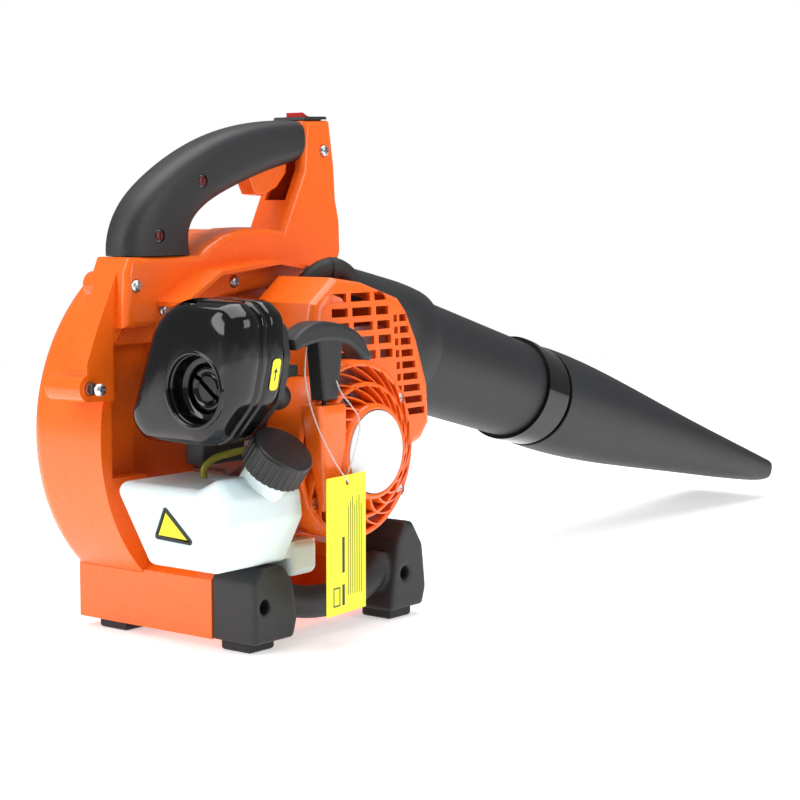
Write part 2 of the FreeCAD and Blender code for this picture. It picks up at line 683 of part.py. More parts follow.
def ignition_coil():
    legs = []
    for x in (-16.0, 10.0):
        legs.append(box(x, x + 6, -51, -43, AXIS_Z + 42.5, AXIS_Z + 62))
    core = box(-16, 16, -51, -43, AXIS_Z + 58, AXIS_Z + 64)
    winding = rounded(box(-19, 3, -52.5, -38, AXIS_Z + 46, AXIS_Z + 57.8), 2.0, along_y)
    winding = winding.cut(box(-16, -10, -60, -30, 170, 200))
    return fuse(legs + [core, winding])


def swirl_slot(turn, inner, outer, width):
    """One curved opening between two swirled vanes of the starter grille."""
    centre_x = (inner + outer) / 2
    arc = Part.makeCylinder(30.0 + width, 40.0, V(centre_x, -110, AXIS_Z - 26), V(0, 1, 0))
    arc = arc.cut(Part.makeCylinder(30.0 - width, 42.0, V(centre_x, -111, AXIS_Z - 26), V(0, 1, 0)))
    slot = arc.common(ring_y(outer, inner, 0, AXIS_Z, -100, -80))
    slot = slot.common(box(0, 80, -120, -60, AXIS_Z - 20, AXIS_Z + 20))
    slot.rotate(V(0, 0, AXIS_Z), V(0, 1, 0), turn)
    return slot


def starter_cover():
    cup = disc_y(STARTER_R, 0, AXIS_Z, STARTER_FACE_Y, -58)
    cup = rounded(cup, 4.0, on_y(STARTER_FACE_Y))
    hub = disc_y(32.0, 0, AXIS_Z, HUB_FACE_Y, STARTER_FACE_Y + 1)
    hub = rounded(hub, 3.0, on_y(HUB_FACE_Y))
    block = rounded(box(-60, -31, -107, -88, 138, 165), 4.0, along_y)
    body = fuse([cup, hub, block])
    body = body.cut(disc_y(STARTER_R - 3, 0, AXIS_Z, STARTER_FACE_Y + 3, -50))
    body = body.cut(disc_y(28.5, 0, AXIS_Z, HUB_FACE_Y + 3, STARTER_FACE_Y + 5))
    for step in range(16):
        body = body.cut(swirl_slot(22.5 * step, 35.0, 56.0, 2.6))
    body = fuse([body, rounded(box(-60, -31, -107, -87.5, 138, 165), 4.0, along_y)])
    for start, end in zip(PULL_ROPE, PULL_ROPE[1:]):
        body = body.cut(rod(3.2, start, end)).cut(Part.makeSphere(3.2, V(*end)))
    body = body.cut(disc_y(29.0, 0, AXIS_Z, HUB_FACE_Y - 1, HUB_FACE_Y + 1))
    post = disc_y(5.0, 0, AXIS_Z, HUB_FACE_Y + 2, -66)
    lugs = []
    for turn in (35.0, 145.0, 215.0, 325.0):
        x = 56.0 * math.cos(math.radians(turn))
        z = AXIS_Z + 56.0 * math.sin(math.radians(turn))
        lugs.append(disc_y(5.0, x, z, STARTER_FACE_Y + 1, -58))
    body = fuse([body, post] + lugs)
    for turn in (35.0, 145.0, 215.0, 325.0):
        x = 56.0 * math.cos(math.radians(turn))
        z = AXIS_Z + 56.0 * math.sin(math.radians(turn))
        body = body.cut(disc_y(2.1, x, z, -100, -50)).cut(disc_y(4.0, x, z, -100, -87))
    return body.removeSplitter()


def starter_screws():
    screws = []
    for turn in (35.0, 145.0, 215.0, 325.0):
        x = 56.0 * math.cos(math.radians(turn))
        z = AXIS_Z + 56.0 * math.sin(math.radians(turn))
        head = disc_y(3.7, x, z, -90.0, -87.0)
        shank = disc_y(2.0, x, z, -87.0, -54.0)
        slot = box(x - 3, x + 3, -91, -89, z - 0.5, z + 0.5)
        screws.append(head.fuse(shank).cut(slot))
    return group(screws)


def starter_back():
    """Ring plate behind the starter, carried by the engine, that the starter screws bite into."""
    plate = ring_y(STARTER_R, 48.0, 0, AXIS_Z, -57.7, -53)
    for turn in (35.0, 145.0, 215.0, 325.0):
        x = 56.0 * math.cos(math.radians(turn))
        z = AXIS_Z + 56.0 * math.sin(math.radians(turn))
        plate = plate.cut(disc_y(2.0, x, z, -60, -50))
    arms = []
    for turn in (20.0, 70.0, 110.0, 160.0):
        arm = box(44, STARTER_R, -53.0, -22, AXIS_Z - 4, AXIS_Z + 4)
        arm = arm.fuse(box(30, 60, -30, -22, AXIS_Z - 4, AXIS_Z + 4))
        arm = arm.cut(disc_y(CASE_R + 0.0, 0, AXIS_Z, -60, 0))
        arm = arm.cut(disc_y(48, 0, AXIS_Z, -53, -31))
        arm.rotate(V(0, 0, AXIS_Z), V(0, 1, 0), turn)
        arms.append(arm)
    return fuse([plate] + arms)


def label_disc():
    return disc_y(28.5, 0, AXIS_Z, HUB_FACE_Y - 0.2, HUB_FACE_Y + 1)


def starter_pulley():
    wheel = disc_y(20.0, 0, AXIS_Z, -83, -81).fuse(disc_y(20.0, 0, AXIS_Z, -73, -71))
    wheel = wheel.fuse(disc_y(PULLEY_R - 2.2, 0, AXIS_Z, -81, -73))
    return wheel.cut(disc_y(5.06, 0, AXIS_Z, -100, -60))


def recoil_spring():
    """Flat coil spring in the hub: a strip wound in turns around the post."""
    turns = []
    for step in range(7):
        radius = 9.0 + 2.2 * step
        turns.append(ring_y(radius + 0.5, radius - 0.5, 0, AXIS_Z, -99, -88))
    bridge = box(8.8, 23.0, -99, -88, AXIS_Z - 0.5, AXIS_Z + 0.5)
    return fuse(turns + [bridge])


HANDLE_X = -47.0
HANDLE_Y = -99.0
ROPE_R = 1.6
PULL_ROPE = [(-18.0, -77.0, 129.0), (-20.0, -77.0, 136.0), (-46.0, -98.0, 152.0), (HANDLE_X, HANDLE_Y, 160.0),
             (HANDLE_X, HANDLE_Y, 186.0)]


def starter_rope():
    return swept_cord(PULL_ROPE, ROPE_R, "starter_rope")


def starter_handle():
    """Arched T bar on a flared stem."""
    edge = [V(-84.5, 0, 210), V(-66, 0, 220), V(-41, 0, 219), V(-15, 0, 208), V(-7, 0, 192)]
    under = [V(-15, 0, 193), V(-29, 0, 203), V(-60, 0, 207), V(-82, 0, 203)]
    upper = Part.BSplineCurve()
    upper.interpolate(edge)
    lower = Part.BSplineCurve()
    lower.interpolate(under)
    wire = Part.Wire([upper.toShape(), Part.makeLine(edge[-1], under[0]), lower.toShape(),
                      Part.makeLine(under[-1], edge[0])])
    bar = Part.Face(wire).extrude(V(0, 20, 0))
    bar.translate(V(0, HANDLE_Y - 9.0, 0))
    bar = bar.common(box(-100, 0, HANDLE_Y - 9.0, HANDLE_Y + 8.0, 150, 240))
    bar = rounded(bar, 3.5, lambda edge: on_y(HANDLE_Y - 9.0)(edge) or on_y(HANDLE_Y + 8.0)(edge))
    stem = prism_y([(-60, 212), (-55, 174), (-54, 168), (-40, 168), (-39, 174), (-34, 210)],
                   HANDLE_Y - 7.5, HANDLE_Y + 6.5)
    stem = rounded(stem, 3.0, lambda edge: on_y(HANDLE_Y - 7.5)(edge) or on_y(HANDLE_Y + 6.5)(edge))
    handle = bar.fuse(stem).removeSplitter()
    return handle.cut(rod(ROPE_R + 0.02, (HANDLE_X, HANDLE_Y, 160), (HANDLE_X, HANDLE_Y, 187)))


# ---- fuel system --------------------------------------------------------------------------------
def cap_axis():
    lean = math.radians(38.0)
    return V(0, -math.sin(lean), math.cos(lean))


CAP_FACE = V(-89.0, -101.0, 140.0)
CAP_R = 21.5


def tank_solid(inset):
    rear = -131.0 + inset
    outline = [(19 - inset, 113 - inset), (-60, 113 - inset), (-78, 122 - inset), (-92 + inset, 108),
               (-94 + inset, 92), (-77 + inset, 59 + inset), (-16 - inset, 59 + inset)]
    body = prism_x(outline, rear, -64.0 - inset)
    body = rounded(body, 7.0 - inset, along_x)
    body = rounded(body, 7.0 - inset, on_x(rear))
    shelf = box(-67.0, -28.0 - inset, -74 + inset, -20 - inset, 60 + inset, 70 - inset)
    sump = rounded(box(-54.0 + inset, -26.0 - inset, -76 + inset, -18 - inset, 46 + inset, 71 - inset),
                   6.0 - inset, lambda edge: True)
    lobe = shelf.fuse(sump)
    neck = rod(15.5 - inset, tuple(CAP_FACE - cap_axis() * 44), tuple(CAP_FACE - cap_axis() * 5))
    return fuse([body, lobe, neck])


def fuel_tank():
    tank = tank_solid(0.0).cut(tank_solid(2.0))
    tank = tank.cut(rod(12.0, tuple(CAP_FACE - cap_axis() * 14), tuple(CAP_FACE - cap_axis() * 2)))
    for route in (FUEL_ROUTE, RETURN_ROUTE):
        tank = tank.cut(rod(2.0, route[0], route[1]))
    return tank


def fuel_cap():
    cup = rod(CAP_R, tuple(CAP_FACE - cap_axis() * 19), tuple(CAP_FACE))
    cup = rounded(cup, 2.5, lambda edge: abs(edge.CenterOfMass.sub(CAP_FACE).Length) < 0.5)
    cup = cup.cut(rod(15.8, tuple(CAP_FACE - cap_axis() * 20), tuple(CAP_FACE - cap_axis() * 4.5)))
    side = cap_axis().cross(V(1, 0, 0))
    for step in range(28):
        turn = math.radians(step * 360.0 / 28)
        reach = CAP_R + 0.6
        spot = CAP_FACE + V(1, 0, 0) * reach * math.cos(turn) + side * reach * math.sin(turn)
        groove = rod(1.3, tuple(spot - cap_axis() * 22), tuple(spot - cap_axis() * 3))
        cup = cup.cut(groove)
    return cup


FUEL_ROUTE = [(-98.0, -30.0, 90.0), (-98.0, -30.0, 126.0), (-82.0, -28.0, 140.0), (-64.0, -10.0, 143.0),
              (-58.0, 1.0, 148.0), (-58.0, 1.0, 159.6)]
RETURN_ROUTE = [(-88.0, -36.0, 96.0), (-88.0, -36.0, 124.0), (-74.0, -44.0, 136.0), (-66.0, -50.0, 150.0),
                (-66.0, -50.0, 165.6)]


def fuel_line():
    return swept_cord(FUEL_ROUTE, 1.95, "fuel_line")


def return_line():
    return swept_cord(RETURN_ROUTE, 1.95, "return_line")


def fuel_filter():
    return rod(7.0, (-98, -30, 66), (-98, -30, 89.7))


# ---- base, bracket, feet ------------------------------------------------------------------------
def scroll_keepout():
    return scroll_body(-0.2)


def base_stand():
    rear = prism_y([(-97, 7), (-56, 7), (-56, 44), (-66, 53), (-91, 53), (-97, 47)], -42.0, 86.0)
    front = prism_y([(42, 7), (82, 7), (82, 40), (74, 50), (50, 50), (42, 42)], -42.0, 86.0)
    keel = box(-60, 50, -38, 18, 7, 16)
    body = fuse([rear, front, keel])
    body = body.cut(box(-93, -60, -38, 82, 6, 40)).cut(box(46, 78, -38, 82, 6, 38))
    body = body.fuse(box(-93, -60, 41, 73, 7, 12)).fuse(box(46, 78, 41, 73, 7, 12))
    body = body.fuse(box(-93, -60, -38, 20, 7, 12)).fuse(box(46, 78, -38, 20, 7, 12))
    ribs = box(-93, -60, 18, 21, 7, 50).fuse(box(46, 78, 18, 21, 7, 45))
    body = fuse([body, ribs])
    body = body.cut(scroll_keepout())
    for x, z in BASE_SCREWS:
        body = body.cut(disc_y(2.4, x, z, -60, 0))
    return max(body.Solids, key=lambda solid: solid.Volume)


def bracket_end(outline):
    return rounded(prism_y(outline, -82.0, -42.3), 3.0, on_y(-82.0))


def side_bracket():
    rear = bracket_end([(-97, 7), (-58, 7), (-54, 20), (-58, 45), (-68, 57.5), (-88, 57.5), (-97, 49)])
    front = bracket_end([(46, 7), (84, 7), (88, 20), (84, 52), (72, 70), (64, 70), (55, 58)])
    bar = Part.BSplineCurve()
    bar.interpolate([V(-66, -64, 36), V(-40, -66, 27), V(0, -67, 23), V(34, -66, 29), V(56, -64, 42)])
    path = Part.Wire(bar.toShape())
    start = Part.Wire(Part.makeCircle(11.5, V(-66, -64, 36), V(1, 0, -0.4)))
    rail = path.makePipeShell([start], True, True)
    body = fuse([rear, front, rail])
    for x, z in BRACKET_HOLES:
        body = body.cut(disc_y(5.0, x, z, -90, -52))
    for x, z in BASE_SCREWS:
        body = body.cut(disc_y(2.4, x, z, -50, -40))
    return body


BRACKET_HOLES = [(-87.0, 32.0), (63.0, 33.0)]
BASE_SCREWS = [(-79.0, 44.0), (62.0, 45.0)]


def base_screws():
    return [disc_y(2.4, x, z, -50.0, -36.0) for x, z in BASE_SCREWS]


FEET = [(-93.0, -69.0, 44.0, 70.0), (-93.0, -69.0, -73.0, -47.0), (49.0, 73.0, 44.0, 70.0),
        (51.0, 75.0, -77.0, -51.0)]


def rubber_feet():
    pads = []
    for x0, x1, y0, y1 in FEET:
        pad = box(x0, x1, y0, y1, 0.0, FOOT_H)
        pads.append(rounded(pad, 2.5, lambda edge: edge.BoundBox.ZMax < 0.01))
    return group(pads)


# ---- grip, trigger and switch -------------------------------------------------------------------
# back and finger side of the grip, from its root to its front end, as (X, Z) pairs
GRIP_BACK = [(-119, 262.5), (-115, 284), (-97, 307), (-62, 330), (-24, 346), (16, 355), (57.5, 358)]
GRIP_FINGER = [(-54, 262.5), (-56, 274), (-51, 287), (-32, 300), (-4, 311), (24, 320), (57.5, 328)]
GRIP_SECTIONS = 15


def curve_through(points, y):
    curve = Part.BSplineCurve()
    curve.interpolate([V(x, y, z) for x, z in points], Parameters=[float(k) for k in range(len(points))])
    return curve


def grip_solid(inset):
    back_curve = curve_through(GRIP_BACK, SEAM_Y)
    finger_curve = curve_through(GRIP_FINGER, SEAM_Y)
    half_w = (GRIP_Y1 - GRIP_Y0) / 2 - inset
    sections = []
    for step in range(GRIP_SECTIONS):
        share = step * (len(GRIP_BACK) - 1.0) / (GRIP_SECTIONS - 1)
        back = back_curve.value(share)
        finger = finger_curve.value(share)
        up = back - finger
        half_h = up.Length / 2 - inset
        up.normalize()
        sections.append(superellipse((back + finger) / 2, V(0, 1, 0), up, half_w, half_h, 3.0))
    middle = GRIP_SECTIONS // 2
    root = Part.makeLoft(sections[:middle + 1], True)
    body = root.fuse(Part.makeLoft(sections[middle:], True)).removeSplitter()
    if inset:
        body = body.common(box(-200, 57.5 - inset, 0, 60, 262.5 + inset, 400))
    return body


def grip_halves():
    shell = grip_solid(0.0).cut(grip_solid(4.0))
    mouth = box(0, 52, 15.5, 32.5, 300, 332)
    shell = shell.cut(mouth).cut(trigger_pin())
    left = shell.common(box(-200, 200, SEAM_Y, 60, 200, 400))
    right = shell.common(box(-200, 200, 0, SEAM_Y, 200, 400))
    for x, z in GRIP_SCREWS:
        right = right.cut(disc_y(4.5, x, z, 0, 10)).cut(disc_y(1.8, x, z, 0, 24))
        pillar = ring_y(4.5, 1.8, x, z, 16.0, SEAM_Y)
        right = right.fuse(pillar.fuse(ring_y(6.5, 4.5, x, z, 9.0, 16.0)).fuse(ring_y(6.5, 1.8, x, z, 10.0, 16.5)))
    return left, right


GRIP_SCREWS = [(-92.0, 276.0), (-50.0, 313.0)]


def grip_screws():
    screws = []
    for x, z in GRIP_SCREWS:
        screws.append(disc_y(3.9, x, z, 8.2, 10.0).fuse(disc_y(1.7, x, z, 10.0, 23.5)))
    return screws


TRIGGER_PIVOT = (46.0, 336.0)


def trigger():
    outline = [(6, 318), (8, 328), (36, 337), (44, 342), (51.5, 338), (48, 319), (38, 309), (24, 303),
               (14, 304)]
    body = rounded(prism_y(outline, 17.0, 31.0), 2.0, lambda edge: on_y(17.0)(edge) or on_y(31.0)(edge))
    x, z = TRIGGER_PIVOT
    return body.cut(disc_y(2.06, x, z, 0, 50))


def trigger_pin():
    x, z = TRIGGER_PIVOT
    return disc_y(2.0, x, z, 9.0, 39.0)


def trigger_spring():
    coils = []
    for step in range(5):
        coils.append(Part.makeTorus(2.6, 0.6, V(24, 24, 340.0 + 1.1 * step), V(0, 0, 1)))
    return fuse(coils)


SWITCH_PIVOT = (71.6, 354.0)


def switch_plate():
    plate = prism_y([(58.5, 358.3), (84.5, 359.3), (83.0, 361.4), (60.0, 360.6)], 9.0, 39.0)
    cage = box(62, 81.2, 12, 36, 349, 359.5)
    x, z = SWITCH_PIVOT
    return plate.fuse(cage).cut(box(64, 79.2, 15.5, 32.5, 340, 370)).cut(disc_y(2.06, x, z, 13.5, 34.5))


def stop_switch():
    rocker = prism_y([(65.4, 352), (78, 352), (78, 361.5), (73.5, 361), (69.5, 362), (65.4, 364)], 16.0, 32.0)
    x, z = SWITCH_PIVOT
    return rocker.fuse(disc_y(2.0, x, z, 14.0, 34.0)).removeSplitter()


CABLE_ROUTE = [(3.0, 28.0, 326.0), (-22.0, 28.0, 318.0), (-62.0, 28.0, 304.0), (-82.0, 28.0, 288.0),
               (-82.0, 28.0, 269.0)]


def throttle_cable():
    return swept_cord(CABLE_ROUTE, 1.5, "throttle_cable")


# ---- blow tube, collar and nozzle ---------------------------------------------------------------
def tube_axis_point(x):
    return tuple(tube_centre(x))


def blow_tube():
    outer = cone(TUBE_R, TUBE_END_R, tube_axis_point(TUBE_START_X), tube_axis_point(398.0))
    inner = cone(TUBE_R - 2.2, TUBE_END_R - 2.2, tube_axis_point(TUBE_START_X - 1), tube_axis_point(399.0))
    return outer.cut(inner)


def tube_collar():
    sleeve = rod(43.7, tube_axis_point(COLLAR_X), tube_axis_point(NOZZLE_X - 8))
    lip = rod(45.2, tube_axis_point(COLLAR_X), tube_axis_point(COLLAR_X + 9))
    body = sleeve.fuse(lip)
    bore = cone(TUBE_R + 0.02, TUBE_END_R + 0.02, tube_axis_point(TUBE_START_X), tube_axis_point(398.0))
    return body.cut(bore)


def nozzle_solid(inset, back, ahead):
    sections = []
    stations = [(NOZZLE_X - 4.0 - back, 44.4, 44.4, 2.0), (430.0, 44.3, 44.3, 2.0), (540.0, 45.0, 36.0, 2.2),
                (660.0, 47.5, 23.0, 2.8), (TIP_X + ahead, TIP_HALF_W, TIP_HALF_H, 3.6)]
    for x, half_w, half_h, power in stations:
        centre = tube_centre(x)
        centre.y = TUBE_Y + 4.0 * max(0.0, (x - 430.0)) / 323.0
        sections.append(section(centre, half_w - inset, half_h - inset, power))
    return Part.makeLoft(sections, True)


def nozzle():
    return nozzle_solid(0.0, 0.0, 0.0).cut(nozzle_solid(1.8, 1.0, 1.0))


# ---- hang tag -----------------------------------------------------------------------------------
TAG_HOLE = V(-40.0, -113.0, 113.0)
TAG_LEAN = 6.0


def hang_tag():
    card = box(-24.5, 22.0, -0.3, 0.3, -87.5, 5.0)
    card = card.cut(disc_y(2.0, 0, 0, -2, 2))
    card.rotate(V(0, 0, 0), V(0, 0, 1), TAG_LEAN)
    card.translate(TAG_HOLE)
    return card


STRING_ROUTE = [(-70.0, -104.0, 204.6), (-78.0, -109.0, 194.0), (-79.0, -110.5, 182.0), (-72.0, -112.0, 156.0),
                (-52.0, -115.0, 124.0), (-42.5, -117.5, 113.5), (-38.0, -109.5, 113.0), (-30.0, -110.0, 128.0),
                (-21.0, -110.5, 152.0), (-32.0, -110.0, 164.0), (-42.0, -109.5, 172.0), (-44.0, -107.2, 181.0)]



def tag_string():
    return swept_cord(STRING_ROUTE, 0.5, "tag_string")


def build():
    os.makedirs(OUT, exist_ok=True)
    left, right = housing_halves()
    write("left_housing", left)
    write("right_housing", right)
    case_left, case_right = crankcase()
    write("crankcase_left", case_left)
    write("crankcase_right", case_right)
    grip_left, grip_right = grip_halves()
    write("grip_left", grip_left)
    write("grip_right", grip_right)
    write("engine_cover", engine_cover().cut(right))
    pieces = [case_screws, intake_guard, guard_pin, guard_knob, impeller, shaft_nuts, crankshaft, crank_pin,
              connecting_rod, wrist_pin, piston, main_bearings, cylinder, spark_plug, spark_plug_boot, muffler,
              carb_insulator, carburettor, choke_lever, primer_bulb, filter_cover, filter_knob, filter_foam,
              filter_base, flywheel, ignition_coil, starter_cover, starter_screws, starter_back, label_disc,
              starter_pulley, recoil_spring, starter_rope, starter_handle, fuel_tank, fuel_cap, fuel_line,
              return_line, fuel_filter, base_stand, side_bracket, rubber_feet, trigger, trigger_pin,
              trigger_spring, switch_plate, stop_switch, throttle_cable, blow_tube, tube_collar, nozzle,
              hang_tag, tag_string]
    for piece in pieces:
        write(piece.__name__, piece())


build()
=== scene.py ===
import json
import math

import bmesh
import bpy
from mathutils import Matrix, Vector


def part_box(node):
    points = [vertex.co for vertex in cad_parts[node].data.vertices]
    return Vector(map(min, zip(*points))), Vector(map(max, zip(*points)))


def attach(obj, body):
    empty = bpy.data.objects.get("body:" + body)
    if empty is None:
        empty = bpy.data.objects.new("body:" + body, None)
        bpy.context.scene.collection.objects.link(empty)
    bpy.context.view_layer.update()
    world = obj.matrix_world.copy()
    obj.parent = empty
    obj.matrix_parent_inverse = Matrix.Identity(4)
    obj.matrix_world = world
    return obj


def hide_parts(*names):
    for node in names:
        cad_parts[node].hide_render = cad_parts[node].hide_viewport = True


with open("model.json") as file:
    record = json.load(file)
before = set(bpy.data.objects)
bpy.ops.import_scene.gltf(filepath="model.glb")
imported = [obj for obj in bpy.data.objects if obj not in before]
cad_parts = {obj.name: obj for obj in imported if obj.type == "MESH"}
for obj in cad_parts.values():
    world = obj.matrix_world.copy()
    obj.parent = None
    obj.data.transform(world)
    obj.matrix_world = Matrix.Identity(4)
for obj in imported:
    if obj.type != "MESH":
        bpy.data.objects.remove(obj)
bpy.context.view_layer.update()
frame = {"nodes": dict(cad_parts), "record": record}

# Working axes of the part in millimetres: X = 0 on the crankshaft, Y = 0 beside the fan case, Z = 0 on the
# floor. The flywheel's middle and its right face at Y = -54 place them in the row frame.
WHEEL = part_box("flywheel")
SHIFT = Vector(((WHEEL[0].x + WHEEL[1].x) / 2, WHEEL[0].y + 0.054, 0.0))


def mm(x, y, z):
    return Vector((x, y, z)) / 1000.0 + SHIFT


# ---- materials ----------------------------------------------------------------------------------
def node(mat, kind, **values):
    made = mat.node_tree.nodes.new(kind)
    for key, value in values.items():
        name = key.replace("_", " ")
        if name in made.inputs:
            made.inputs[name].default_value = value
        else:
            setattr(made, key, value)
    return made


def link(mat, a, out, b, into):
    mat.node_tree.links.new(a.outputs[out], b.inputs[into])


def surface(name, colour, tint, grain, grain_size, depth, rough, mottle=18.0, **sockets):
    """A look with colour mottle, roughness patches and a moulded grain bump, from noise in object space."""
    mat = bpy.data.materials.new(name)
    mat.use_nodes = True
    shader = mat.node_tree.nodes["Principled BSDF"]
    for key, value in sockets.items():
        shader.inputs[key.replace("_", " ")].default_value = value
    space = node(mat, "ShaderNodeTexCoord")
    broad = node(mat, "ShaderNodeTexNoise", Scale=mottle, Detail=4.0, Roughness=0.55)
    link(mat, space, "Object", broad, "Vector")
    ramp = node(mat, "ShaderNodeValToRGB")
    ramp.color_ramp.elements[0].position = 0.3
    ramp.color_ramp.elements[1].position = 0.7
    ramp.color_ramp.elements[0].color = (*[c * (1.0 - tint) for c in colour], 1.0)
    ramp.color_ramp.elements[1].color = (*[min(1.0, c * (1.0 + tint)) for c in colour], 1.0)
    link(mat, broad, "Fac", ramp, "Fac")
    link(mat, ramp, "Color", shader, "Base Color")
    fine = node(mat, "ShaderNodeTexNoise", Scale=grain_size, Detail=3.0, Roughness=0.6)
    link(mat, space, "Object", fine, "Vector")
    patch = node(mat, "ShaderNodeMapRange")
    patch.inputs["To Min"].default_value = rough[0]
    patch.inputs["To Max"].default_value = rough[1]
    mix = node(mat, "ShaderNodeMath", operation="MULTIPLY")
    link(mat, broad, "Fac", mix, 0)
    link(mat, fine, "Fac", mix, 1)
    scale = node(mat, "ShaderNodeMath", operation="MULTIPLY")
    scale.inputs[1].default_value = 2.0
    link(mat, mix, "Value", scale, 0)
    link(mat, scale, "Value", patch, "Value")
    link(mat, patch, "Result", shader, "Roughness")
    bump = node(mat, "ShaderNodeBump", Strength=grain, Distance=depth)
    link(mat, fine, "Fac", bump, "Height")
    link(mat, bump, "Normal", shader, "Normal")
    return mat


# Each look: colour, how much it varies, the grain's strength, scale and depth, then the roughness range.
M = {
    "orange": surface("orange_plastic", (0.94, 0.142, 0.007), 0.03, 0.12, 900.0, 0.0002, (0.2, 0.36),
                      Coat_Weight=0.12, Coat_Roughness=0.12),
    "dark": surface("satin_dark_plastic", (0.015, 0.016, 0.018), 0.12, 0.35, 1500.0, 0.0002, (0.42, 0.6)),
    "gloss": surface("gloss_black", (0.004, 0.004, 0.005), 0.1, 0.06, 260.0, 0.0002, (0.06, 0.14),
                     Coat_Weight=0.25, Coat_Roughness=0.06, Specular_IOR_Level=0.36),
    "rubber": surface("rubber", (0.012, 0.012, 0.013), 0.2, 0.5, 1100.0, 0.0003, (0.5, 0.75)),
    "tank": surface("milky_tank", (0.84, 0.85, 0.86), 0.02, 0.2, 700.0, 0.0002, (0.3, 0.45),
                    Subsurface_Weight=0.5, Subsurface_Scale=0.01),
    "steel": surface("steel", (0.6, 0.6, 0.62), 0.08, 0.2, 1400.0, 0.0002, (0.2, 0.42), Metallic=1.0),
    "alloy": surface("cast_alloy", (0.5, 0.5, 0.51), 0.12, 0.6, 800.0, 0.0004, (0.38, 0.62), Metallic=0.9),
    "hose": surface("olive_hose", (0.42, 0.40, 0.04), 0.05, 0.1, 400.0, 0.0002, (0.15, 0.3),
                    Transmission_Weight=0.5, IOR=1.4),
    "red": surface("red_rocker", (0.62, 0.012, 0.008), 0.05, 0.1, 800.0, 0.0001, (0.14, 0.28),
                   Coat_Weight=0.4),
    "deep_red": surface("deep_red", (0.12, 0.006, 0.006), 0.1, 0.1, 800.0, 0.0001, (0.3, 0.5)),
    "satin": surface("satin_black", (0.012, 0.012, 0.013), 0.1, 0.15, 900.0, 0.0002, (0.3, 0.45)),
    "foam": surface("foam", (0.05, 0.05, 0.055), 0.3, 1.0, 700.0, 0.001, (0.8, 0.95)),
    "cord": surface("cord", (0.03, 0.03, 0.03), 0.3, 0.8, 900.0, 0.0004, (0.7, 0.9)),
    "label": surface("label_white", (0.78, 0.79, 0.80), 0.01, 0.05, 500.0, 0.0001, (0.22, 0.34)),
    "yellow": surface("yellow_card", (0.86, 0.88, 0.02), 0.02, 0.1, 900.0, 0.0001, (0.38, 0.52)),
    "string": surface("clear_string", (0.85, 0.85, 0.85), 0.02, 0.05, 500.0, 0.0001, (0.12, 0.25),
                      Transmission_Weight=0.6, IOR=1.45),
    "ink": surface("black_ink", (0.01, 0.01, 0.01), 0.1, 0.05, 600.0, 0.0001, (0.3, 0.5)),
}

SLOT_LOOKS = {"orange_shell": "orange", "dark_grip": "dark", "black_gloss": "gloss", "red_rocker": "red",
              "white_tank": "tank", "rubber_black": "rubber", "fuel_hose": "hose", "steel": "steel",
              "cast_alloy": "alloy", "foam": "foam", "cord_black": "cord", "label_white": "label",
              "tag_yellow": "yellow", "clear_string": "string"}
NODE_LOOKS = {"fuel_cap": "satin"}


def dress_cad():
    for part in frame["record"]["subparts"]:
        piece = frame["nodes"][part["node"]]
        look = M[NODE_LOOKS.get(part["node"], SLOT_LOOKS[part["material_slot"]])]
        if not piece.material_slots:
            piece.data.materials.append(look)
        for place in piece.material_slots:
            place.material = look


dress_cad()


# ---- piece helpers ------------------------------------------------------------------------------
def new_piece(name, verts, faces, look, body, sharp=32.0):
    """A mesh piece from points on the working axes, in millimetres."""
    mesh = bpy.data.meshes.new(name)
    mesh.from_pydata([tuple(mm(*v)) for v in verts], [], faces)
    shape = bmesh.new()
    shape.from_mesh(mesh)
    bmesh.ops.recalc_face_normals(shape, faces=shape.faces)
    shape.to_mesh(mesh)
    shape.free()
    return add_mesh(name, mesh, look, body, sharp)


def add_mesh(name, mesh, look, body, sharp=32.0):
    """Links the mesh as a piece on its body, smooth-shaded up to the sharp angle."""
    mesh.materials.clear()
    mesh.materials.append(M[look])
    mesh.polygons.foreach_set("use_smooth", [True] * len(mesh.polygons))
    mesh.set_sharp_from_angle(angle=math.radians(sharp))
    obj = bpy.data.objects.new(name, mesh)
    bpy.context.collection.objects.link(obj)
    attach(obj, body)
    return obj


def ring_faces(rings, size, closed=False):
    """Faces of a skin over equal rings of points; the first and last are capped unless they join up."""
    faces = []
    spans = rings if closed else rings - 1
    for ring in range(spans):
        here = ring * size
        there = ((ring + 1) % rings) * size
        for k in range(size):
            n = (k + 1) % size
            faces.append((here + k, here + n, there + n, there + k))
    if not closed:
        faces.append(tuple(range(size)))
        faces.append(tuple(range((rings - 1) * size, rings * size)))
    return faces


def loft(name, rings, look, body, sharp=32.0):
    points = [p for ring in rings for p in ring]
    return new_piece(name, points, ring_faces(len(rings), len(rings[0])), look, body, sharp)


def rounded_outline(points, radii, steps=6):
    """Closed outline of 2-D points with each corner turned into an arc."""
    result = []
    count = len(points)
    for k in range(count):
        before = Vector(points[k - 1])
        corner = Vector(points[k])
        after = Vector(points[(k + 1) % count])
        radius = radii[k] if isinstance(radii, (list, tuple)) else radii
        into = (before - corner).normalized()
        out = (after - corner).normalized()
        half = into.angle(out) / 2
        reach = min(radius / math.tan(half), 0.49 * (before - corner).length, 0.49 * (after - corner).length)
        real = reach * math.tan(half)
        centre = corner + (into + out).normalized() * (real / math.sin(half))
        start = corner + into * reach - centre
        turn = start.angle_signed(corner + out * reach - centre)
        for step in range(steps + 1):
            a = -turn * step / steps
            x = start.x * math.cos(a) - start.y * math.sin(a)
            y = start.x * math.sin(a) + start.y * math.cos(a)
            result.append(centre + Vector((x, y)))
    return result


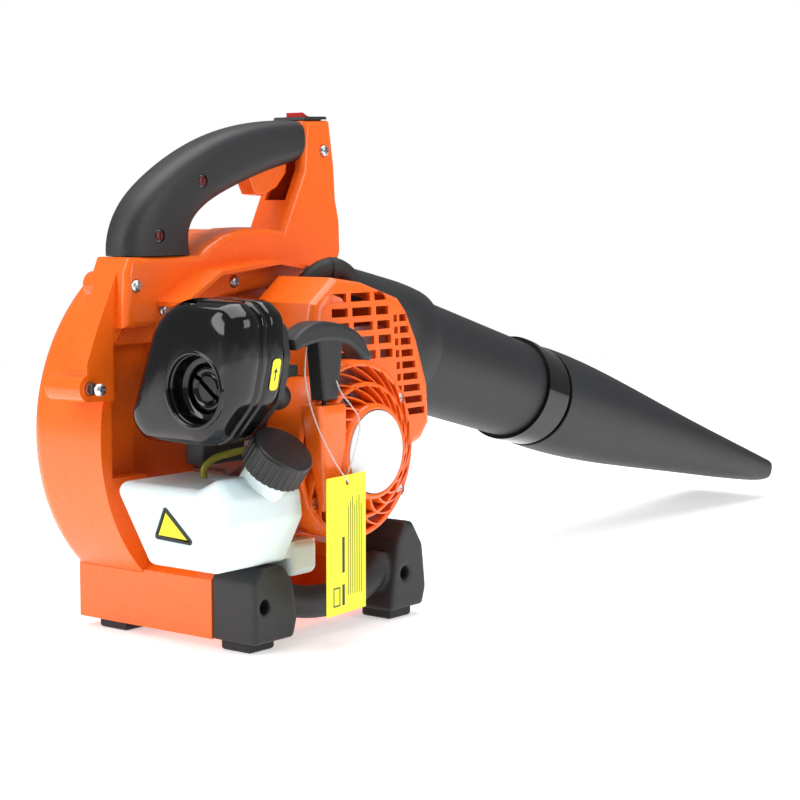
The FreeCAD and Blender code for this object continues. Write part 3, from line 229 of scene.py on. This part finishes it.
def inset(outline, amount):
    """The outline moved inwards along its own normals."""
    count = len(outline)
    area = sum(outline[k - 1].x * outline[k].y - outline[k].x * outline[k - 1].y for k in range(count))
    side = 1.0 if area > 0 else -1.0
    moved = []
    for k in range(count):
        along = outline[(k + 1) % count] - outline[k - 1]
        normal = Vector((-along.y, along.x)).normalized() * side
        moved.append(outline[k] + normal * amount)
    return moved


def shrunk(outline, amount):
    """The outline drawn in towards the middle of its box, so that its sides move in by the amount."""
    xs = [p.x for p in outline]
    ys = [p.y for p in outline]
    middle = Vector(((min(xs) + max(xs)) / 2, (min(ys) + max(ys)) / 2))
    fx = 1.0 - 2.0 * amount / (max(xs) - min(xs))
    fy = 1.0 - 2.0 * amount / (max(ys) - min(ys))
    return [middle + Vector(((p.x - middle.x) * fx, (p.y - middle.y) * fy)) for p in outline]


def frame_of(axis):
    """The axis as a unit vector, with two more square to it."""
    axis = Vector(axis).normalized()
    side = axis.cross(Vector((0, 0, 1)) if abs(axis.z) < 0.9 else Vector((1, 0, 0))).normalized()
    return axis, side, axis.cross(side).normalized()


def turned(name, profile, centre, axis, look, body, slot_name, steps=72, closed=False, sharp=32.0):
    """A turned piece: profile pairs are (distance along the axis, radius)."""
    axis, side, up = frame_of(axis)
    rings = []
    for along, radius in profile:
        ring = []
        for k in range(steps):
            a = 2 * math.pi * k / steps
            ring.append(Vector(centre) + axis * along + (side * math.cos(a) + up * math.sin(a)) * radius)
        rings.append(ring)
    points = [p for ring in rings for p in ring]
    faces = ring_faces(len(rings), steps, closed)
    return new_piece(name, points, faces, look, body, sharp)


def tube_along(name, points, radius, look, body, steps=12):
    """A round bead along a polyline, closed at both ends."""
    rings = []
    points = [Vector(p) for p in points]
    for k, p in enumerate(points):
        before = points[max(0, k - 1)]
        after = points[min(len(points) - 1, k + 1)]
        axis, side, up = frame_of(after - before)
        if rings:
            side = (carried - axis * carried.dot(axis)).normalized()
            up = axis.cross(side)
        carried = side
        rings.append([p + (side * math.cos(a) + up * math.sin(a)) * radius
                      for a in [2 * math.pi * j / steps for j in range(steps)]])
    return loft(name, rings, look, body)


def apply_all(obj):
    """Turns the piece with its modifiers into a plain mesh."""
    graph = bpy.context.evaluated_depsgraph_get()
    mesh = bpy.data.meshes.new_from_object(obj.evaluated_get(graph))
    obj.modifiers.clear()
    obj.data = mesh
    return mesh


def carve(obj, cutters, sharp=32.0):
    """Cuts the cutters out of the piece and removes them."""
    for cutter in cutters:
        mod = obj.modifiers.new("carve", "BOOLEAN")
        mod.operation = "DIFFERENCE"
        mod.solver = "EXACT"
        mod.object = cutter
    mesh = apply_all(obj)
    for cutter in cutters:
        bpy.data.objects.remove(cutter)
    mesh.polygons.foreach_set("use_smooth", [True] * len(mesh.polygons))
    mesh.set_sharp_from_angle(angle=math.radians(sharp))
    return obj


def bevel(obj, width):
    """Rounds the piece's hard edges; width is in millimetres."""
    weld = obj.modifiers.new("weld", "WELD")
    weld.merge_threshold = 0.00001
    mod = obj.modifiers.new("bevel", "BEVEL")
    mod.width = width / 1000.0
    mod.segments = 3
    mod.limit_method = "ANGLE"
    mod.angle_limit = math.radians(30.0)
    mod.use_clamp_overlap = True
    mod.harden_normals = False
    return obj


def soft_copy(name, nodes, look, body, voxel, rounds):
    """A smooth blown or moulded skin grown over the CAD nodes, which it replaces."""
    shape = bmesh.new()
    for item in nodes:
        shape.from_mesh(frame["nodes"][item].data)
    mesh = bpy.data.meshes.new(name)
    shape.to_mesh(mesh)
    shape.free()
    obj = add_mesh(name, mesh, look, body)
    mod = obj.modifiers.new("skin", "REMESH")
    mod.mode = "VOXEL"
    mod.voxel_size = voxel / 1000.0
    mod.use_smooth_shade = True
    smooth = obj.modifiers.new("soften", "SMOOTH")
    smooth.factor = 0.5
    smooth.iterations = rounds
    mesh = apply_all(obj)
    mesh.materials.clear()
    mesh.materials.append(M[look])
    mesh.polygons.foreach_set("use_smooth", [True] * len(mesh.polygons))
    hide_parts(*nodes)
    return obj


def box_cutter(name, x0, x1, y0, y1, z0, z1, turn=0.0, about=None):
    """A box for carve; about is the point and the axis letter that it is turned about."""
    mesh = bpy.data.meshes.new(name)
    shape = bmesh.new()
    bmesh.ops.create_cube(shape, size=1.0)
    size = Vector((x1 - x0, y1 - y0, z1 - z0)) / 1000.0
    middle = mm((x0 + x1) / 2, (y0 + y1) / 2, (z0 + z1) / 2)
    bmesh.ops.scale(shape, vec=size, verts=shape.verts)
    bmesh.ops.translate(shape, vec=middle, verts=shape.verts)
    if about is not None:
        spin = Matrix.Rotation(turn, 4, about[1])
        bmesh.ops.rotate(shape, cent=about[0], matrix=spin, verts=shape.verts)
    shape.to_mesh(mesh)
    shape.free()
    obj = bpy.data.objects.new(name, mesh)
    bpy.context.collection.objects.link(obj)
    return obj


def smooth_path(points, steps=8):
    """A smooth line through all the points, as a denser list."""
    result = []
    count = len(points)
    for k in range(count - 1):
        p0 = points[max(0, k - 1)]
        p1 = points[k]
        p2 = points[k + 1]
        p3 = points[min(count - 1, k + 2)]
        for step in range(steps):
            t = step / steps
            result.append(0.5 * ((2 * p1) + (p2 - p0) * t + (2 * p0 - 5 * p1 + 4 * p2 - p3) * t * t
                                 + (3 * p1 - p0 - 3 * p2 + p3) * t * t * t))
    result.append(points[-1])
    return result


# ---- CAD nodes that stay get small moulded radii on their edges ---------------------------------
EDGE_RADII = {"left_housing": 0.9, "right_housing": 0.9, "engine_cover": 0.6, "base_stand": 2.4,
              "fuel_cap": 0.4, "starter_handle": 0.8, "fuel_tank": 0.8, "trigger": 0.8, "switch_plate": 0.5,
              "stop_switch": 0.6, "intake_guard": 0.5, "guard_knob": 0.5, "nozzle": 0.5, "blow_tube": 0.5,
              "label_disc": 0.2, "rubber_feet": 0.6, "choke_lever": 0.6, "carburettor": 0.8, "cylinder": 0.4,
              "muffler": 0.6}         # millimetres


def soften_cad():
    """Bevels the CAD nodes' edges with modifiers; their vertices stay as they are."""
    for name, width in EDGE_RADII.items():
        obj = frame["nodes"][name]
        mesh = obj.data
        if "custom_normal" in mesh.attributes:
            mesh.attributes.remove(mesh.attributes["custom_normal"])
        mesh.polygons.foreach_set("use_smooth", [True] * len(mesh.polygons))
        bevel(obj, width)
        even = obj.modifiers.new("even", "WEIGHTED_NORMAL")
        even.weight = 80


soften_cad()


# ---- air filter cover: (Y, Z) outline, and stations of (X, how far its sides draw in) -------------
LID_FACE_X = -137.0
COVER_CORNERS = [(-32, 238), (-92, 236), (-104, 226), (-104, 196), (-98, 171), (-76, 146), (-66, 141),
                 (-12, 141), (0, 152)]
COVER_RADII = [34, 14, 12, 40, 30, 14, 12, 14, 13]
COVER_STATIONS = [(LID_FACE_X, 15), (-136.6, 11.5), (-135.6, 8.4), (-133.8, 5.6), (-131, 3.2), (-127.5, 1.5),
                  (-123, 0.5), (-117.4, 0), (-116.8, 0.2), (-116.3, 1.5), (-115.4, 2.2), (-113.8, 2.2),
                  (-112.9, 1.5), (-112.4, 0.2), (-111.8, 0), (-109.6, 0), (-109.0, 0.2), (-108.5, 1.5),
                  (-107.6, 2.2), (-106.0, 2.2), (-105.1, 1.5), (-104.6, 0.4), (-104.0, 0.1), (-94, 0.1),
                  (-92.6, 0.5), (-92.05, 1.4)]
KNOB = (-66.0, 179.0)           # middle of the recess and the knob, Y and Z


def build_filter_cover():
    outline = rounded_outline(COVER_CORNERS, COVER_RADII, 7)
    rings = []
    for x, amount in COVER_STATIONS:
        rings.append([(x, p.x, p.y) for p in shrunk(outline, amount)])
    cover = loft("filter_cover_shell", rings, "gloss", "air_filter_lid", sharp=50.0)
    well = [(-3, 0.01), (-3, 27.5), (-0.5, 25.2), (0.8, 24.0), (2.2, 23.2), (3.2, 22.9), (3.6, 22.3),
            (11.5, 21.4), (13.0, 20.2), (13.6, 17.5), (13.6, 17.0), (26.0, 16.6), (26.0, 0.01)]
    recess = turned("recess", well, (LID_FACE_X, *KNOB), (1, 0, 0), "gloss", "air_filter_lid", "black_gloss")
    notch = box_cutter("notch", -132, -119, -63, -49, 231.0, 246, math.radians(14),
                       (mm(-125, -56, 232), "Y"))
    carve(cover, [recess, notch], 40.0)
    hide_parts("filter_cover")
    rim = [(-0.2, 25.6), (-1.1, 24.9), (-1.4, 23.9), (-0.9, 22.9), (0.6, 22.5), (2.0, 22.9), (2.0, 25.4)]
    turned("filter_recess_rim", rim, (LID_FACE_X + 0.4, *KNOB), (1, 0, 0), "gloss", "air_filter_lid",
           "black_gloss", closed=True, sharp=60.0)
    latch = rounded_outline([(-131, -61), (-119, -61), (-119, -51), (-131, -51)], 1.5, 3)
    loft("filter_latch", [[(p.x, p.y, 231.0) for p in latch], [(p.x, p.y, 233.4) for p in latch],
                          [(p.x, p.y, 234.0) for p in inset(latch, 0.7)]], "gloss", "air_filter_lid")


def build_filter_knob():
    profile = [(13.2, 0.01), (13.2, 8.0), (13.9, 8.6), (14.3, 9.6), (13.6, 10.4), (12.9, 11.2), (12.7, 13.2),
               (13.2, 14.3), (14.2, 14.9), (24.5, 15.0), (24.5, 4.7), (48.0, 4.7), (48.0, 2.5), (52.4, 2.5),
               (52.4, 0.01)]
    knob = turned("filter_knob_turned", profile, (LID_FACE_X, *KNOB), (1, 0, 0), "gloss", "lid_knob",
                  "black_gloss")
    slot = box_cutter("slot", -138, -119.5, KNOB[0] - 13.5, KNOB[0] + 13.5, KNOB[1] - 1.7, KNOB[1] + 1.7,
                      math.radians(38), (mm(LID_FACE_X, *KNOB), "X"))
    carve(knob, [slot], 40.0)
    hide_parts("filter_knob")


def build_pill_label():
    """Plain yellow pill on the cover's right flank, with one generic arrow."""
    low = Vector((0, -100.4, 178.4))
    high = Vector((0, -104.5, 198.6))
    up = (high - low).normalized()
    out = Vector((0, -up.z, up.y))
    middle = (low + high) / 2

    def place(outline, lift):
        return [middle + Vector((p.x, 0, 0)) + up * p.y + out * lift for p in outline]

    pill = rounded_outline([(-103.8, -11), (-95.0, -11), (-95.0, 11), (-103.8, 11)], 3.2, 5)
    layers = (("pill_label_edge", 0.0, 0.12, "ink"), ("pill_label", 0.5, 0.28, "yellow"))
    for name, amount, lift, look in layers:
        ring = inset(pill, amount)
        loft(name, [place(ring, -0.3), place(ring, lift)], look, "air_filter_lid")
    arrow = [Vector(p) for p in ((-99.9, -4), (-98.9, -4), (-98.9, 1.5), (-97.6, 1.5), (-99.4, 4.6),
                                 (-101.2, 1.5), (-99.9, 1.5))]
    loft("pill_arrow", [place(arrow, 0.1), place(arrow, 0.36)], "ink", "air_filter_lid")


build_filter_cover()
build_filter_knob()
build_pill_label()


# ---- plain sticker on the tank, and the tag's print ---------------------------------------------
def build_tank_sticker():
    """Plain yellow triangle with a dark border on the tank's rear face."""
    corners = [(-33, 101), (-62, 76.5), (-23, 78)]
    edge = rounded_outline(corners, 2.2, 5)
    layers = (("tank_sticker_edge", 0.0, 0.15, "ink"), ("tank_sticker", 3.0, 0.3, "yellow"))
    for name, amount, lift, look in layers:
        ring = inset(edge, amount)
        loft(name, [[(-130.9, p.x, p.y) for p in ring], [(-131.0 - lift, p.x, p.y) for p in ring]], look,
             "housing")


TAG_HOLE = Vector((-40.0, -113.0, 113.0))
TAG_TURN = math.radians(6.0)


def on_tag(along, up, lift):
    """A point on the card, from its hole: along it, up it and off its face."""
    side = Vector((math.cos(TAG_TURN), math.sin(TAG_TURN), 0.0))
    out = Vector((math.sin(TAG_TURN), -math.cos(TAG_TURN), 0.0))
    return TAG_HOLE + side * along + Vector((0, 0, up)) + out * lift


def tag_bar(name, x0, x1, z0, z1):
    corners = [(x0, z0), (x1, z0), (x1, z1), (x0, z1)]
    rings = [[on_tag(x, z, 0.25) for x, z in corners], [on_tag(x, z, 0.36) for x, z in corners]]
    return loft(name, rings, "ink", "tag")


def build_tag_print():
    """Plain rules, two blocks and an empty frame."""
    for k in range(7):
        x = 0.5 + 2.6 * k
        tag_bar("tag_rule_%d" % k, x, x + 0.7, -76.0, -16.0 + (k % 3) * 3.0)
    tag_bar("tag_block_top", -6.5, -3.6, -60.0, -36.0)
    tag_bar("tag_block_low", -6.5, -3.6, -82.0, -68.0)
    sides = [(-17, -9, -82, -81), (-17, -9, -70, -69), (-17, -16, -82, -69), (-10, -9, -82, -69)]
    for k, side in enumerate(sides):
        tag_bar("tag_frame_%d" % k, *side)


build_tank_sticker()
build_tag_print()


# ---- screws of the grip -------------------------------------------------------------------------
GRIP_SCREWS = [(-92.0, 276.0), (-50.0, 313.0)]


def build_grip_screws():
    for k, (x, z) in enumerate(GRIP_SCREWS):
        plug = turned("grip_screw_plug_%d" % k, [(0, 0.01), (0, 3.0), (0.3, 3.4), (1.0, 3.5), (1.0, 0.01)],
                      (x, 7.1, z), (0, 1, 0), "deep_red", "housing", "red_rocker", 32)
        cut = box_cutter("cut", x - 0.5, x + 0.5, 6.8, 7.6, z - 3.0, z + 3.0)
        carve(plug, [cut], 40.0)


build_grip_screws()


# ---- the tag's string, from the handle's bar through the tag's hole and back ----------------------
STRING_R = 0.0005
STRING_POINTS = [(-70.0, -104.0, 204.6), (-78.0, -109.0, 194.0), (-79.0, -110.5, 182.0),
                 (-72.0, -112.0, 156.0), (-52.0, -115.0, 124.0), (-42.5, -117.5, 113.5),
                 (-38.0, -109.5, 113.0), (-30.0, -110.0, 128.0), (-21.0, -110.5, 152.0),
                 (-32.0, -110.0, 164.0), (-42.0, -109.5, 172.0), (-44.0, -107.2, 181.0)]


def build_string():
    curve = bpy.data.curves.new("tag_string_line", "CURVE")
    curve.dimensions = "3D"
    line = curve.splines.new("NURBS")
    line.points.add(len(STRING_POINTS) - 1)
    for point, place in zip(line.points, STRING_POINTS):
        point.co = (*mm(*place), 1.0)
    line.order_u = 3
    line.use_endpoint_u = True
    curve.bevel_depth = STRING_R
    curve.bevel_resolution = 4
    curve.resolution_u = 16
    curve.materials.append(M["string"])
    obj = bpy.data.objects.new("tag_string_line", curve)
    bpy.context.collection.objects.link(obj)
    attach(obj, "pull_handle")
    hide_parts("tag_string")


build_string()


# ---- recoil starter cover: domed grille of swirled vanes between three rings ----------------------
STARTER = (0.0, 0.0, 129.0)     # on the crankshaft's axis
DOME_IN_R = 31.0
DOME_OUT_R = 59.5
VANES = 22
VANE_STEPS = 10
VANE_SECTION = ((-1.1, 9.5), (-1.1, 0.5), (-0.7, 0.1), (0.7, 0.1), (1.1, 0.5), (1.1, 9.5))  # across, drop
VANE_FOOT_Y = -79.5
VANE_SWIRL = 0.85               # radians from the hub to the rim
LUG_R = 56.0
LUG_TURNS = (35.0, 145.0, 215.0, 325.0)
ROPE_RUN = [(-20.0, -77.0, 136.0), (-46.0, -98.0, 152.0), (-47.0, -99.0, 166.5)]
ROPE_HOLE_R = 3.0
# Z, then X and Y from and to, up the tapered block that guides the rope.
GUIDE_SECTIONS = [(92, -44, -33, -97, -90), (100, -46, -31, -100, -90), (120, -51, -30, -103, -89.5),
                  (137, -56, -30, -105.5, -88.5), (158, -59.4, -31.4, -106.8, -88.2),
                  (163.6, -59.6, -31.4, -106.9, -88.2), (164.7, -58.8, -32.2, -106.1, -88.9)]
# (radius, Y) of the grille's outer face.
DOME = [(31.0, -104.5), (38.0, -101.5), (44.0, -98.0), (49.0, -95.0), (54.0, -92.5), (60.0, -89.6)]


def starter_turned(name, profile, centre=STARTER, **settings):
    """A turned part of the cover: profile pairs are (distance out along -Y, radius)."""
    return turned(name, profile, centre, (0, -1, 0), "orange", "housing", "orange_shell", **settings)


def starter_ring(name, profile):
    """A ring of the cover: profile pairs are (Y, radius)."""
    return starter_turned(name, [(-y, r) for y, r in profile], steps=96, closed=True, sharp=50.0)


def dome_at(radius):
    for (r0, y0), (r1, y1) in zip(DOME, DOME[1:]):
        if radius <= r1:
            return y0 + (y1 - y0) * (radius - r0) / (r1 - r0)
    return DOME[-1][1]


def starter_vane(name, start):
    rings = []
    for step in range(VANE_STEPS + 1):
        part = step / VANE_STEPS
        radius = DOME_IN_R + (DOME_OUT_R - DOME_IN_R) * part
        angle = start + VANE_SWIRL * part ** 1.1
        out = Vector((math.cos(angle), math.sin(angle)))
        side = Vector((-out.y, out.x))
        top = dome_at(radius)
        ring = []
        for across, drop in VANE_SECTION:
            spot = out * radius + side * across
            ring.append((STARTER[0] + spot.x, min(VANE_FOOT_Y, top + drop), STARTER[2] + spot.y))
        rings.append(ring)
    return loft(name, rings, "orange", "housing", sharp=30.0)


def build_starter():
    outer = [(-58.2, 61.9), (-87.0, 61.9), (-88.8, 61.3), (-89.8, 60.0), (-89.9, 58.6), (-89.2, 57.6),
             (-86.0, 57.4), (-80.0, 58.6), (-58.2, 58.8)]
    rim = starter_ring("starter_outer_ring", outer)
    mid = [(-90.0, 47.4), (-95.4, 47.2), (-96.0, 46.6), (-96.6, 45.2), (-96.3, 44.4), (-95.6, 44.1),
           (-90.0, 44.4)]
    starter_ring("starter_mid_ring", mid)
    hub = [(-90.5, 33.8), (-101.0, 33.5), (-104.4, 32.8), (-105.6, 31.6), (-106.0, 30.4), (-105.8, 29.4),
           (-105.2, 29.05), (-100.0, 29.0), (-99.5, 4.0), (-97.5, 4.0), (-97.0, 28.5), (-90.5, 28.9)]
    starter_ring("starter_hub_ring", hub)
    starter_turned("starter_post", [(66.2, 0.01), (66.2, 4.8), (98.5, 4.8), (98.5, 0.01)], steps=32)
    for k in range(VANES):
        starter_vane("starter_vane_%d" % k, 2 * math.pi * k / VANES)
    lug = [(58.2, 2.3), (58.2, 4.9), (90.2, 4.9), (90.9, 4.4), (90.9, 4.1), (87.2, 4.1), (87.2, 2.3)]
    for k, turn in enumerate(LUG_TURNS):
        x = STARTER[0] + LUG_R * math.cos(math.radians(turn))
        z = STARTER[2] + LUG_R * math.sin(math.radians(turn))
        starter_turned("starter_lug_%d" % k, lug, (x, 0, z), steps=32, closed=True)
    build_rope_guide()
    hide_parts("starter_cover")


def build_rope_guide():
    """Tapered block under the pull handle, bored for the rope."""
    block = []
    for z, x0, x1, y0, y1 in GUIDE_SECTIONS:
        outline = rounded_outline([(x0, y0), (x1, y0), (x1, y1), (x0, y1)], 3.5, 4)
        block.append([(p.x, p.y, z) for p in outline])
    guide = loft("starter_rope_guide", block, "orange", "housing", sharp=50.0)
    bores = []
    for start, end in zip(ROPE_RUN, ROPE_RUN[1:]):
        along = Vector(end) - Vector(start)
        reach = along.length + 0.5
        profile = [(-1, 0.01), (-1, ROPE_HOLE_R), (reach, ROPE_HOLE_R), (reach, 0.01)]
        bores.append(turned("bore", profile, start, along, "orange", "housing", "orange_shell", 24))
    carve(guide, bores, 40.0)


build_starter()


# ---- hose, air duct, screw heads, tube root, plug boot and bracket --------------------------------
HOUSING_SCREWS = [(-116.0, 243.0), (-150.0, 176.0), (-90.0, 226.0), (-21.0, 243.0), (77.0, 336.0)]
TUBE_LEAN = math.radians(15.4)
TUBE_POINT = (247.0, 34.0, 168.0)       # one point on the tube's centre line
# X, the middle's Y, half width, half height, and the power that squares the outline.
ROOT_SECTIONS = [(108.0, 51.4, 44.9, 49.0, 3.4), (125.0, 48.0, 46.6, 49.0, 3.0),
                 (143.0, 41.2, 49.6, 49.4, 2.5), (158.0, 35.6, 51.6, 49.8, 2.1),
                 (170.0, 33.6, 52.4, 50.2, 2.0), (182.0, 33.4, 51.8, 50.2, 2.0),
                 (193.5, 34.0, 50.2, 50.0, 2.0)]


def build_hose():
    """The one fuel hose in sight, from the tank's top round behind the cap to the carburettor."""
    route = [(-99.0, -38.0, 116.0), (-98.4, -38.6, 123.0), (-93.0, -43.0, 129.0), (-84.0, -51.0, 132.5),
             (-74.0, -57.0, 135.0), (-64.0, -52.0, 139.5), (-59.0, -30.0, 149.0), (-58.0, -8.0, 156.0),
             (-58.0, 1.0, 159.6)]
    path = smooth_path([Vector(p) for p in route], 8)
    hose = tube_along("fuel_hose_bead", path, 2.5, "hose", "housing", 16)
    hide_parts("fuel_line", "return_line")


def build_duct():
    """Dark air duct below the filter."""
    rings = []
    sections = ((122.4, -90.0, -29.0), (124.0, -91.0, -30.0), (138.0, -91.5, -31.5), (143.0, -91.8, -33.0))
    for z, x0, y0 in sections:
        outline = rounded_outline([(x0, y0), (-50, y0), (-50, -13), (x0, -13)], 2.5, 4)
        rings.append([(p.x, p.y, z) for p in outline])
    loft("filter_duct", rings, "dark", "housing", sharp=50.0)


def build_screw_heads():
    profile = [(3.4, 0.01), (3.4, 2.6), (4.0, 3.6), (5.0, 4.2), (7.0, 4.3), (7.0, 0.01)]
    for k, (x, z) in enumerate(HOUSING_SCREWS):
        head = turned("case_screw_head_%d" % k, profile, (x, 0, z), (0, 1, 0), "steel", "housing", "steel",
                      32)
        slot = box_cutter("slot", x - 2.6, x + 2.6, 3.0, 4.8, z - 0.5, z + 0.5)
        cross = box_cutter("cross", x - 0.5, x + 0.5, 3.0, 4.8, z - 2.6, z + 2.6)
        carve(head, [slot, cross], 40.0)


def build_tube_root():
    """The blow tube's wide root, which sleeves the outlet socket behind the engine cover."""
    up = Vector((math.sin(TUBE_LEAN), 0.0, math.cos(TUBE_LEAN)))
    rings = []
    for x, y, half_w, half_h, power in ROOT_SECTIONS:
        z = TUBE_POINT[2] - (x - TUBE_POINT[0]) * math.tan(TUBE_LEAN)
        ring = []
        for k in range(72):
            c = math.cos(2 * math.pi * k / 72)
            d = math.sin(2 * math.pi * k / 72)
            reach = (abs(c) ** power + abs(d) ** power) ** (-1.0 / power)
            ring.append(Vector((x, y + half_w * reach * c, z)) + up * (half_h * reach * d))
        rings.append(ring)
    loft("tube_root", rings, "dark", "housing", sharp=60.0)


def build_boot():
    """Rubber elbow over the spark plug's top and its lead."""
    route = [(24.0, -19.0, 238.0), (31.0, -24.0, 246.5), (39.0, -27.5, 251.0), (48.0, -30.5, 251.0),
             (56.0, -33.0, 246.0), (60.0, -34.5, 238.0), (61.0, -35.0, 228.0)]
    path = smooth_path([Vector(p) for p in route], 6)
    boot = tube_along("plug_boot_elbow", path, 7.4, "rubber", "housing", 24)
    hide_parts("spark_plug_boot")
    band = smooth_path([Vector(p) for p in route[2:4]], 6)
    tube_along("plug_boot_band", band[2:6], 8.3, "rubber", "housing", 24)


build_tube_root()
build_boot()
build_hose()
build_duct()
build_screw_heads()
soft_copy("bracket_skin", ["side_bracket"], "dark", "housing", 1.3, 10)


# ---- light, floor and camera --------------------------------------------------------------------
WHITE = (1.0, 1.0, 1.0, 1.0)
ROOM_LIGHT = 0.26               # how strongly the world lights the part; the camera sees it at 1
FLOOR_PALE = (0.93, 0.93, 0.93)
FLOOR_GLOW = 0.5
# Name, place and target in metres, width and height, and power in watts.
LAMPS = [("top", (-0.2, 0.1, 2.0), (0, 0, 0.15), (2.0, 2.0), 46.0),
         ("left", (-1.9, 0.7, 1.0), (-0.2, 0, 0.2), (0.7, 1.6), 17.0),
         ("front", (0.1, -2.1, 1.0), (-0.1, 0, 0.15), (0.9, 1.5), 17.0)]
CAMERA_PLACE = (-1055.0, -956.5, 300.0)
CAMERA_TURN = (84.29, 0.0, -51.8)       # degrees about X, Y and Z
CAMERA_LENS = 90.0


def area_light(name, place, target, size, power):
    lamp = bpy.data.lights.new(name, "AREA")
    lamp.shape = "RECTANGLE"
    lamp.size = size[0]
    lamp.size_y = size[1]
    lamp.energy = power
    obj = bpy.data.objects.new(name, lamp)
    obj.location = place
    obj.rotation_euler = (Vector(target) - Vector(place)).to_track_quat("-Z", "Y").to_euler()
    bpy.context.collection.objects.link(obj)


def white_room():
    """A world that the camera sees as white and that lights the part more softly."""
    world = bpy.data.worlds.new("studio")
    bpy.context.scene.world = world
    world.use_nodes = True
    tree = world.node_tree
    back = tree.nodes["Background"]
    back.inputs["Color"].default_value = WHITE
    back.inputs["Strength"].default_value = 1.0
    room = tree.nodes.new("ShaderNodeBackground")
    room.inputs["Color"].default_value = WHITE
    room.inputs["Strength"].default_value = ROOM_LIGHT
    path = tree.nodes.new("ShaderNodeLightPath")
    mix = tree.nodes.new("ShaderNodeMixShader")
    tree.links.new(path.outputs["Is Camera Ray"], mix.inputs[0])
    tree.links.new(room.outputs["Background"], mix.inputs[1])
    tree.links.new(back.outputs["Background"], mix.inputs[2])
    tree.links.new(mix.outputs["Shader"], tree.nodes["World Output"].inputs["Surface"])


def studio():
    white_room()
    for lamp in LAMPS:
        area_light(*lamp)
    mesh = bpy.data.meshes.new("floor")
    mesh.from_pydata([(-3, -3, 0), (1.9, -3, 0), (1.9, 1.9, 0), (-3, 1.9, 0)], [], [(0, 1, 2, 3)])
    floor = bpy.data.objects.new("floor", mesh)
    bpy.context.collection.objects.link(floor)
    mesh.materials.append(surface("floor_pale", FLOOR_PALE, 0.004, 0.02, 60.0, 0.0005, (0.6, 0.75), 2.0,
                                  Emission_Color=WHITE, Emission_Strength=FLOOR_GLOW))


def camera():
    """The view that the part is shown from."""
    data = bpy.data.cameras.new("camera")
    data.lens = CAMERA_LENS
    data.sensor_width = 36.0
    data.clip_start = 0.05
    obj = bpy.data.objects.new("camera", data)
    obj.location = mm(*CAMERA_PLACE)
    obj.rotation_euler = [math.radians(turn) for turn in CAMERA_TURN]
    bpy.context.collection.objects.link(obj)
    bpy.context.scene.camera = obj


studio()
camera()
scene = bpy.context.scene
scene.view_settings.view_transform = "Standard"
